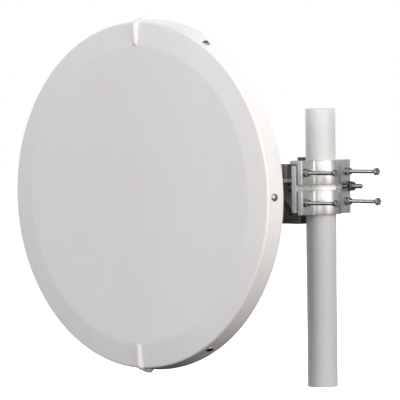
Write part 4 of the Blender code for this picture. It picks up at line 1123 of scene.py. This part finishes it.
def makeAdjuster():
    v = adjusterValues
    hingeX = layout["hinge"][0]
    studY, studZ = layout["stud"]
    pin, half, rounding = v["pinRadius"], v["eyeHalf"], v["eyeRounding"]
    crown = v["eyeRadius"] - rounding
    eyeProfile = [(pin + 0.0003, -half + 0.0005), (pin + 0.0008, -half), (crown, -half)]
    eyeProfile += [(crown + rounding * math.cos(math.radians(a)),
                    (half - rounding) * (1 if a > 0 else -1) + rounding * math.sin(math.radians(a)))
                   for a in (-60, -30, -1, 1, 30, 60)]
    eyeProfile += [(crown, half), (pin + 0.0008, half), (pin + 0.0003, half - 0.0005)]
    eye = turned("eyeRing", eyeProfile, 44, place=shifted(hingeX, studY, studZ))
    neckX = hingeX + v["eyeRadius"] * v["neckStart"]
    neckEnd = v["neckLength"]
    neck = turned("eyeNeck", [(0.0, 0.0), (0.0058, 0.0), (0.0052, neckEnd * 0.5), (0.0049, neckEnd),
                              (0.0, neckEnd)], 28, closed=False,
                  place=shifted(neckX, studY, studZ) @ alongX)
    overlap = 0.001
    thread = makeThread("eyeThread", v["thread"], v["tipX"] - neckX - neckEnd + overlap,
                        sizes["m10"]["pitch"], overlap, 0.0015, 22, "studSteel")
    placed(thread, shifted(neckX + neckEnd - overlap, studY, studZ) @ alongMinusX)
    dress(joined("azimuthEyeBolt", [eye, neck, thread]), "studSteel", "adjuster",
          ["azimuth_eye_bolt"])
    for label, x, turn in (("Front", v["nutFrontX"], alongX), ("Rear", v["nutRearX"], alongMinusX)):
        nut = makeNut("azimuthNut" + label, "m10", v["nutBore"])
        dress(placed(nut, shifted(x, studY, studZ) @ turn @ turnedBy(v["nutSpin"], "Z")),
              "darkSteel", "pole_mount", ["azimuth_nut_" + label.lower()])
    top = v["leverTop"] + 0.0003
    bottom = studZ - half - 0.0003
    pinProfile = [(0.0, top + 0.0040), (0.0058, top + 0.0040), (0.0072, top + 0.0030),
                  (0.0075, top + 0.0008), (0.0072, top), (pin, top), (pin, bottom), (0.0075, bottom),
                  (0.0075, bottom - 0.0014), (0.0048, bottom - 0.0016), (0.0046, bottom - 0.0037),
                  (0.0, bottom - 0.0040)]
    dress(turned("azimuthPin", pinProfile, 36, closed=False, place=shifted(hingeX, studY, 0.0)),
          "brightSteel", "yoke", ["azimuth_pin"])


makeYokeFasteners()
makeAdjuster()
print("yoke fasteners and adjuster built")


# The clamp on the pole

toolPast = 0.005    # how far a drill runs past the metal at each end
jawValues = {"height": 0.048, "space": 0.012, "front": 0.0025, "flange": 0.012,
             "halfWidth": 0.075, "outer": 0.040, "bore": 0.03045, "fillet": 0.005, "corner": 0.0015,
             "rearFace": 0.001, "rearBottom": 0.3505, "rearTop": 0.4442, "boss": 0.013,
             "bossStart": -0.035, "earInner": 0.060, "earOuter": 0.088, "earHalf": 0.012,
             "boltAside": 0.064, "frontHole": 0.0045, "rearHole": 0.0043, "hingeHole": 0.0053,
             "studHole": 0.006, "rearHoleStart": -0.018, "rearHoleLength": 0.022, "edge": 0.0005}


def jawPlan(face, sign):
    # clamp half seen from above, with a fillet where the saddle leaves the flange
    v = jawValues
    back, corner, fillet, half = face + v["flange"], v["corner"], v["fillet"], v["halfWidth"]
    high = back + fillet
    y = math.sqrt((v["outer"] + fillet) * (v["outer"] + fillet) - high * high)
    turn = math.degrees(math.atan2(y, high))
    inner = math.degrees(math.asin(face / v["bore"]))
    fillTop = arcPoints((high, y), fillet, 180 + turn, 180, 8)
    points = arcPoints((face + corner, -half + corner), corner, 180, 270, 4)
    points += arcPoints((back - corner, -half + corner), corner, 270, 360, 4)
    points += [(px, -py) for px, py in fillTop[::-1]]
    points += arcPoints((0, 0), v["outer"], -turn, turn, 40)[1:-1]
    points += fillTop
    points += arcPoints((back - corner, half - corner), corner, 0, 90, 4)
    points += arcPoints((face + corner, half - corner), corner, 90, 180, 4)
    points += arcPoints((0, 0), v["bore"], 90 - inner, inner - 90, 40)
    return [(sign * px, py) for px, py in points]


def makeJaws():
    v = jawValues
    offset = (v["space"] + v["height"]) / 2
    aside = v["boltAside"]
    for label, side in (("upper", 1), ("lower", -1)):
        middle = layout["clampMiddle"] + side * offset
        jaw = extruded("frontJaw" + label.title(), jawPlan(v["front"], 1), v["height"],
                       shifted(0, 0, middle))
        cut(jaw, [hole((v["front"] - toolPast, end * aside, middle), v["flange"] + 2 * toolPast,
                       v["frontHole"], alongX) for end in (-1, 1)])
        softenEdges(jaw, v["edge"], 50.0)
        dress(jaw, "clampAluminium", "pole_mount", ["front_jaw_" + label])
    height = v["rearTop"] - v["rearBottom"]
    middle = (v["rearTop"] + v["rearBottom"]) / 2
    jaw = extruded("rearJaw", jawPlan(v["rearFace"], -1), height, shifted(0, 0, middle))
    hingeX = layout["hinge"][0]
    stud = layout["stud"]
    bossPlan = [(v["bossStart"], -v["boss"]), (v["bossStart"], v["boss"])] \
        + arcPoints((hingeX, 0), v["boss"], 90, 270, 24)
    near, far = -v["rearFace"], -v["rearFace"] - v["flange"]
    earPlan = [(far, v["earInner"]), (near, v["earInner"]), (near, v["earOuter"]), (far, v["earOuter"])]
    cut(jaw, [extruded("boss", bossPlan, height - 0.0002, shifted(0, 0, middle)),
              extruded("ear", earPlan, 2 * v["earHalf"], shifted(0, 0, stud[1]))], "UNION")
    start, length = v["rearHoleStart"], v["rearHoleLength"]
    holes = [hole((hingeX, 0, v["rearBottom"] - toolPast), height + 2 * toolPast, v["hingeHole"], upright),
             hole((start, *stud), length, v["studHole"], alongX)]
    holes += [hole((start, end * aside, layout["clampMiddle"] + side * offset), length, v["rearHole"],
                   alongX) for side in (-1, 1) for end in (-1, 1)]
    cut(jaw, holes)
    softenEdges(jaw, v["edge"], 50.0)
    dress(jaw, "rearJawAluminium", "pole_mount", ["rear_jaw"])


makeJaws()
print("clamp built")


# The yoke casting and the bracket

castingValues = {"voxel": 0.0011, "smoothing": 4, "smoothFactor": 0.5}


def makeYoke():
    # the CAD's own shape, with its edges and corners run together as in a sand mould
    v = castingValues
    yoke = copyOfNode("azimuth_yoke", "yokeCasting")
    remesh = yoke.modifiers.new("skin", "REMESH")
    remesh.mode = "VOXEL"
    remesh.voxel_size = v["voxel"]
    soft = yoke.modifiers.new("soft", "SMOOTH")
    soft.factor = v["smoothFactor"]
    soft.iterations = v["smoothing"]
    dress(settle(yoke, 60.0), "yokeCasting", "yoke", ["azimuth_yoke"])


bracketValues = {"edge": 0.0009, "weldWidth": 0.0021, "weldStep": 0.0015, "weldSeed": 5,
                 "weldX": (-0.310, -0.098), "weldY": (-0.1405, 0.008), "cornerX": -0.0943,
                 "cornerY": -0.1445, "gussetFaces": (0.4376 - 0.0004, 0.3364 + 0.0004)}


def makeBracket():
    v = bracketValues
    bracket = copyOfNode("dish_bracket", "dishBracket")
    softenEdges(bracket, v["edge"], 45.0)
    dress(bracket, "bracketZinc", "dish", ["dish_bracket"])
    # one bead along the back plate and one along the side plate, at each gusset
    beads = []
    for z in v["gussetFaces"]:
        beads.append([(x, v["cornerY"], z) for x in v["weldX"]])
        beads.append([(v["cornerX"], y, z) for y in v["weldY"]])
    runs = [runTree(f"weld{index}", weldTree, {
        "Start": start, "End": end, "Width": v["weldWidth"], "Step": v["weldStep"],
        "Seed": v["weldSeed"] + index, "Material": materials["weldZinc"]})
        for index, (start, end) in enumerate(beads)]
    dress(joined("bracketWelds", runs), "weldZinc", "dish", [])


makeYoke()
makeBracket()
print("yoke and bracket built")


# The hub, the feed port and the pole

hubPlateValues = {"radius": 0.095, "front": 0.1353, "thickness": 0.008, "hole": 0.0303,
                  "groove": 0.0006, "edge": 0.0006, "boltHole": 0.0043, "drillY": -0.17, "drill": 0.03}


def makeHub():
    v = hubPlateValues
    low, high = v["front"], v["front"] + v["thickness"]
    edge, bore, outer, floor = v["edge"], v["hole"], v["radius"], high - v["groove"]
    profile = [(bore, low + edge), (bore + edge, low), (outer - edge, low), (outer, low + edge),
               (outer, high - edge), (outer - edge, high), (outer - 0.006, high), (outer - 0.0066, floor),
               (outer - 0.0082, floor), (outer - 0.0088, high), (bore + edge, high), (bore, high - edge)]
    plate = turned("hubPlate", profile, 120, place=dishToWorld)
    holes = []
    for across in (-1, 1):
        for up in (-1, 1):
            start = (layout["dishX"] + across * hubValues["boltX"] / 2, v["drillY"],
                     layout["axisHeight"] + up * hubValues["boltZ"] / 2)
            holes.append(hole(start, v["drill"], v["boltHole"], alongY, 24))
    cut(plate, holes)
    dress(settle(plate, 30.0), "hubAluminium", "dish", ["hub_plate"])


portValues = {"tube": 0.030, "flange": 0.040, "tubeFront": 0.1128, "rear": 0.1436,
              "flangeThickness": 0.012, "capRadius": 0.034, "capHeight": 0.010, "ribs": 48,
              "ribRadius": 0.0007, "bore": 0.0125, "boreDepth": 0.020, "edge": 0.0008}


def makePort():
    v = portValues
    low, high = v["rear"], v["rear"] + v["flangeThickness"]
    front, bore, tube, flange, edge = v["tubeFront"], v["bore"], v["tube"], v["flange"], v["edge"]
    deep = front + v["boreDepth"]
    profile = [(0.0, deep), (bore, deep), (bore, front + 0.0005), (bore + 0.0005, front),
               (tube - 0.001, front), (tube, front + 0.001), (tube, low), (flange - edge, low),
               (flange, low + edge), (flange, low + 0.0045), (flange - 0.001, low + 0.005),
               (flange - 0.001, low + 0.0068), (flange, low + 0.0073), (flange, high - edge),
               (flange - edge, high), (0.0, high)]
    dress(turned("feedPort", profile, 96, closed=False, place=dishToWorld),
          "hubAluminium", "dish", ["feed_port"])
    start = high + 0.0003
    top = start + v["capHeight"]
    rim = v["capRadius"] - 0.0006
    capProfile = [(0.0, start), (rim, start), (rim, top - 0.0018), (rim - 0.0016, top - 0.0002),
                  (rim - 0.004, top), (rim - 0.006, top - 0.0010), (0.0, top - 0.0010)]
    cap = turned("capBody", capProfile, 96, closed=False)
    grip = extruded("gripRib", arcPoints((0, 0), v["ribRadius"], 0, 360, 9)[:-1], v["capHeight"] - 0.003,
                    turnedBy(quarter, "X"))
    ring = runTree("capRibs", ringTree, {
        "Piece": grip, "Count": v["ribs"], "Radius": rim - 0.0001, "Height": (start + top) / 2 - 0.0006,
        "Lean": 0.0, "Material": materials["plugPlastic"]})
    discard(grip)
    dress(placed(joined("feedPortCap", [cap, ring]), dishToWorld, 30.0),
          "plugPlastic", "dish", ["feed_port_cap"])


poleValues = {"wall": 0.0029, "plug": 0.012, "recess": 0.0015, "edge": 0.0007, "steps": 12}


def makePole():
    v = poleValues
    outer, top, edge = layout["poleRadius"], layout["poleTop"], v["edge"]
    inner = outer - v["wall"]
    profile = [(inner, 0.0), (outer - edge, 0.0), (outer, edge)]
    profile += [(outer, edge + (top - 2 * edge) * i / v["steps"]) for i in range(1, v["steps"])]
    profile += [(outer, top - edge), (outer - edge * 0.3, top - edge * 0.3), (outer - edge, top),
                (inner + edge * 0.5, top), (inner, top - edge * 0.5)]
    dress(turned("poleTube", profile, 128), "polePaintWhite", "pole_mount", ["pole"])
    radius = inner - 0.0003
    face = top - v["recess"]
    topProfile = [(0.0, face - 0.0022), (radius - 0.009, face - 0.0022), (radius - 0.008, face - 0.0010),
                  (radius - 0.0045, face - 0.0004), (radius - 0.001, face), (radius, face - 0.0008),
                  (radius, face - v["plug"]), (0.0, face - v["plug"])]
    footProfile = [(0.0, 0.0), (radius - 0.0008, 0.0), (radius, 0.0008), (radius, v["plug"]),
                   (0.0, v["plug"])]
    for label, plugProfile in (("top", topProfile), ("foot", footProfile)):
        plug = turned(f"pole{label.title()}Plug", plugProfile, 72, closed=False)
        dress(plug, "plugPlastic", "pole_mount", [f"pole_{label}_plug"])


makeHub()
makePort()
makePole()
print("hub, feed port and pole built")


# Floor, lights and camera

stageValues = {
    "floorTone": 0.90, "floorGlow": 1.0, "floorHalf": 14.0, "floorDrop": 0.0002,
    # azimuth and height of each soft box in degrees, its width and height in metres, its power in watts
    "lights": (("frontLeft", -35, 17, 2.3, 3.2, 39.5), ("frontRight", -7, 20, 2.1, 2.1, 78.0),
               ("lowFront", -60, 6, 1.7, 3.2, 24.0), ("highLeft", -92, 38, 2.8, 2.8, 81.0),
               ("highBack", 95, 30, 2.8, 2.8, 112.0), ("lowRight", 0, -6, 2.1, 2.1, 50.0),
               ("backLeft", 156, 22, 3.5, 3.5, 52.0), ("jawGlint", -56, -7, 1.9, 2.4, 30.0)),
    "glossOnly": ("jawGlint",),     # soft boxes that show in reflections only
    "tints": {"lowRight": (1.0, 0.93, 0.87)},
    "lightAim": (-0.05, -0.12, 0.38), "lightDistance": 4.2,
    # the room's pale walls: azimuth in degrees and brightness; then its ceiling
    "walls": ((-131, 0.20), (-105, 0.42), (-79, 0.20), (49, 0.45), (180, 1.0)), "ceiling": 0.28,
}
cameraValues = {"focal": 333.0, "sensor": 36.0, "place": (4.83782, -5.62974, 0.62999),
                "yaw": 0.7426, "pitch": 0.0341, "roll": -0.0111}


def makeFloor():
    # a plain pale floor without a back wall, so that no view from behind is blocked
    form = bmesh.new()
    bmesh.ops.create_grid(form, x_segments=1, y_segments=1, size=stageValues["floorHalf"])
    bmesh.ops.translate(form, vec=(0, 0, -stageValues["floorDrop"]), verts=form.verts)
    floor = itemFrom("paleFloor", form, 80.0)
    paint = materialBuilder("paleFloorPaint")
    tone = stageValues["floorTone"]
    patches = paint.ramp(paint.noise(paint.spot, 3.0, 2.0), 0.3, 0.7, 0.0, 0.1)
    paint.fill(paint.shader, {
        "Base Color": paint.mixColour(patches, (tone, tone, tone), (tone * 0.97, tone * 0.97, tone * 0.965)),
        "Roughness": 0.9, "Specular IOR Level": 0.1, "Emission Color": (1.0, 1.0, 1.0),
        "Emission Strength": stageValues["floorGlow"]})
    # from below it is clear, so that a low camera still sees the antenna
    behind = paint.add("ShaderNodeNewGeometry")["Backfacing"]
    clear = paint.add("ShaderNodeBsdfTransparent")[0]
    choose = paint.add("ShaderNodeMixShader", {0: behind, 1: paint.shader.outputs[0], 2: clear})[0]
    output = next(node for node in paint.tree.nodes if node.type == "OUTPUT_MATERIAL")
    paint.fill(output, {"Surface": choose})
    floor.data.materials.append(paint.material)
    # it is seen by the camera, but neither lights the antenna nor hides a lamp
    floor.visible_diffuse = False
    floor.visible_glossy = False
    floor.visible_shadow = False


def makeLights():
    aim = Vector(stageValues["lightAim"])
    for name, azimuth, height, wide, tall, power in stageValues["lights"]:
        a, e = math.radians(azimuth), math.radians(height)
        away = Vector((math.cos(e) * math.cos(a), math.cos(e) * math.sin(a), math.sin(e)))
        light = bpy.data.lights.new(name + "Light", "AREA")
        light.shape = "RECTANGLE"
        light.size = wide
        light.size_y = tall
        light.energy = power
        light.color = stageValues["tints"].get(name, (1.0, 1.0, 1.0))
        item = link(name + "Light", light)
        item.visible_diffuse = name not in stageValues["glossOnly"]
        item.location = aim + away * stageValues["lightDistance"]
        item.rotation_euler = (-away).to_track_quat("-Z", "Y").to_euler()


def makeWorld():
    # white to the camera; to the antenna a dim room with some pale walls
    world = bpy.data.worlds.new("studio")
    bpy.context.scene.world = world
    world.use_nodes = True
    nodes = nodeBuilder(world.node_tree)
    way = nodes.add("ShaderNodeTexCoord")["Generated"]
    total = nodes.ramp(nodes.split(way)["Z"], 0.3, 0.8, 0.0, stageValues["ceiling"])
    for azimuth, strength in stageValues["walls"]:
        towards = (math.cos(math.radians(azimuth)), math.sin(math.radians(azimuth)), 0.0)
        facing = nodes.add("ShaderNodeVectorMath", {0: way, 1: towards}, operation="DOT_PRODUCT")["Value"]
        total = nodes.plus(total, nodes.ramp(facing, 0.80, 0.98, 0.0, strength))
    seen = nodes.add("ShaderNodeLightPath")["Is Camera Ray"]
    nodes.fill(world.node_tree.nodes["Background"], {
        "Color": (1.0, 1.0, 1.0), "Strength": nodes.math("MAXIMUM", total, seen)})


def makeCamera():
    v = cameraValues
    camera = bpy.data.cameras.new("photoCamera")
    camera.sensor_width = v["sensor"]
    camera.sensor_fit = "HORIZONTAL"
    camera.lens = v["focal"]
    camera.clip_end = 100.0
    yaw, pitch, roll = v["yaw"], v["pitch"], v["roll"]
    level = Vector((math.cos(yaw), math.sin(yaw), 0.0))
    ahead = Vector((-math.sin(yaw), math.cos(yaw), 0.0))
    forward = ahead * math.cos(pitch) - Vector((0, 0, math.sin(pitch)))
    over = Vector((0, 0, math.cos(pitch))) + ahead * math.sin(pitch)
    right = level * math.cos(roll) + over * math.sin(roll)
    top = over * math.cos(roll) - level * math.sin(roll)
    item = link("photoCamera", camera)
    item.matrix_world = shifted(*v["place"]) @ Matrix((right, top, -forward)).transposed().to_4x4()
    bpy.context.scene.camera = item


makeFloor()
makeWorld()
makeCamera()
makeLights()
bpy.context.scene.view_settings.view_transform = "Standard"
print("stage ready")
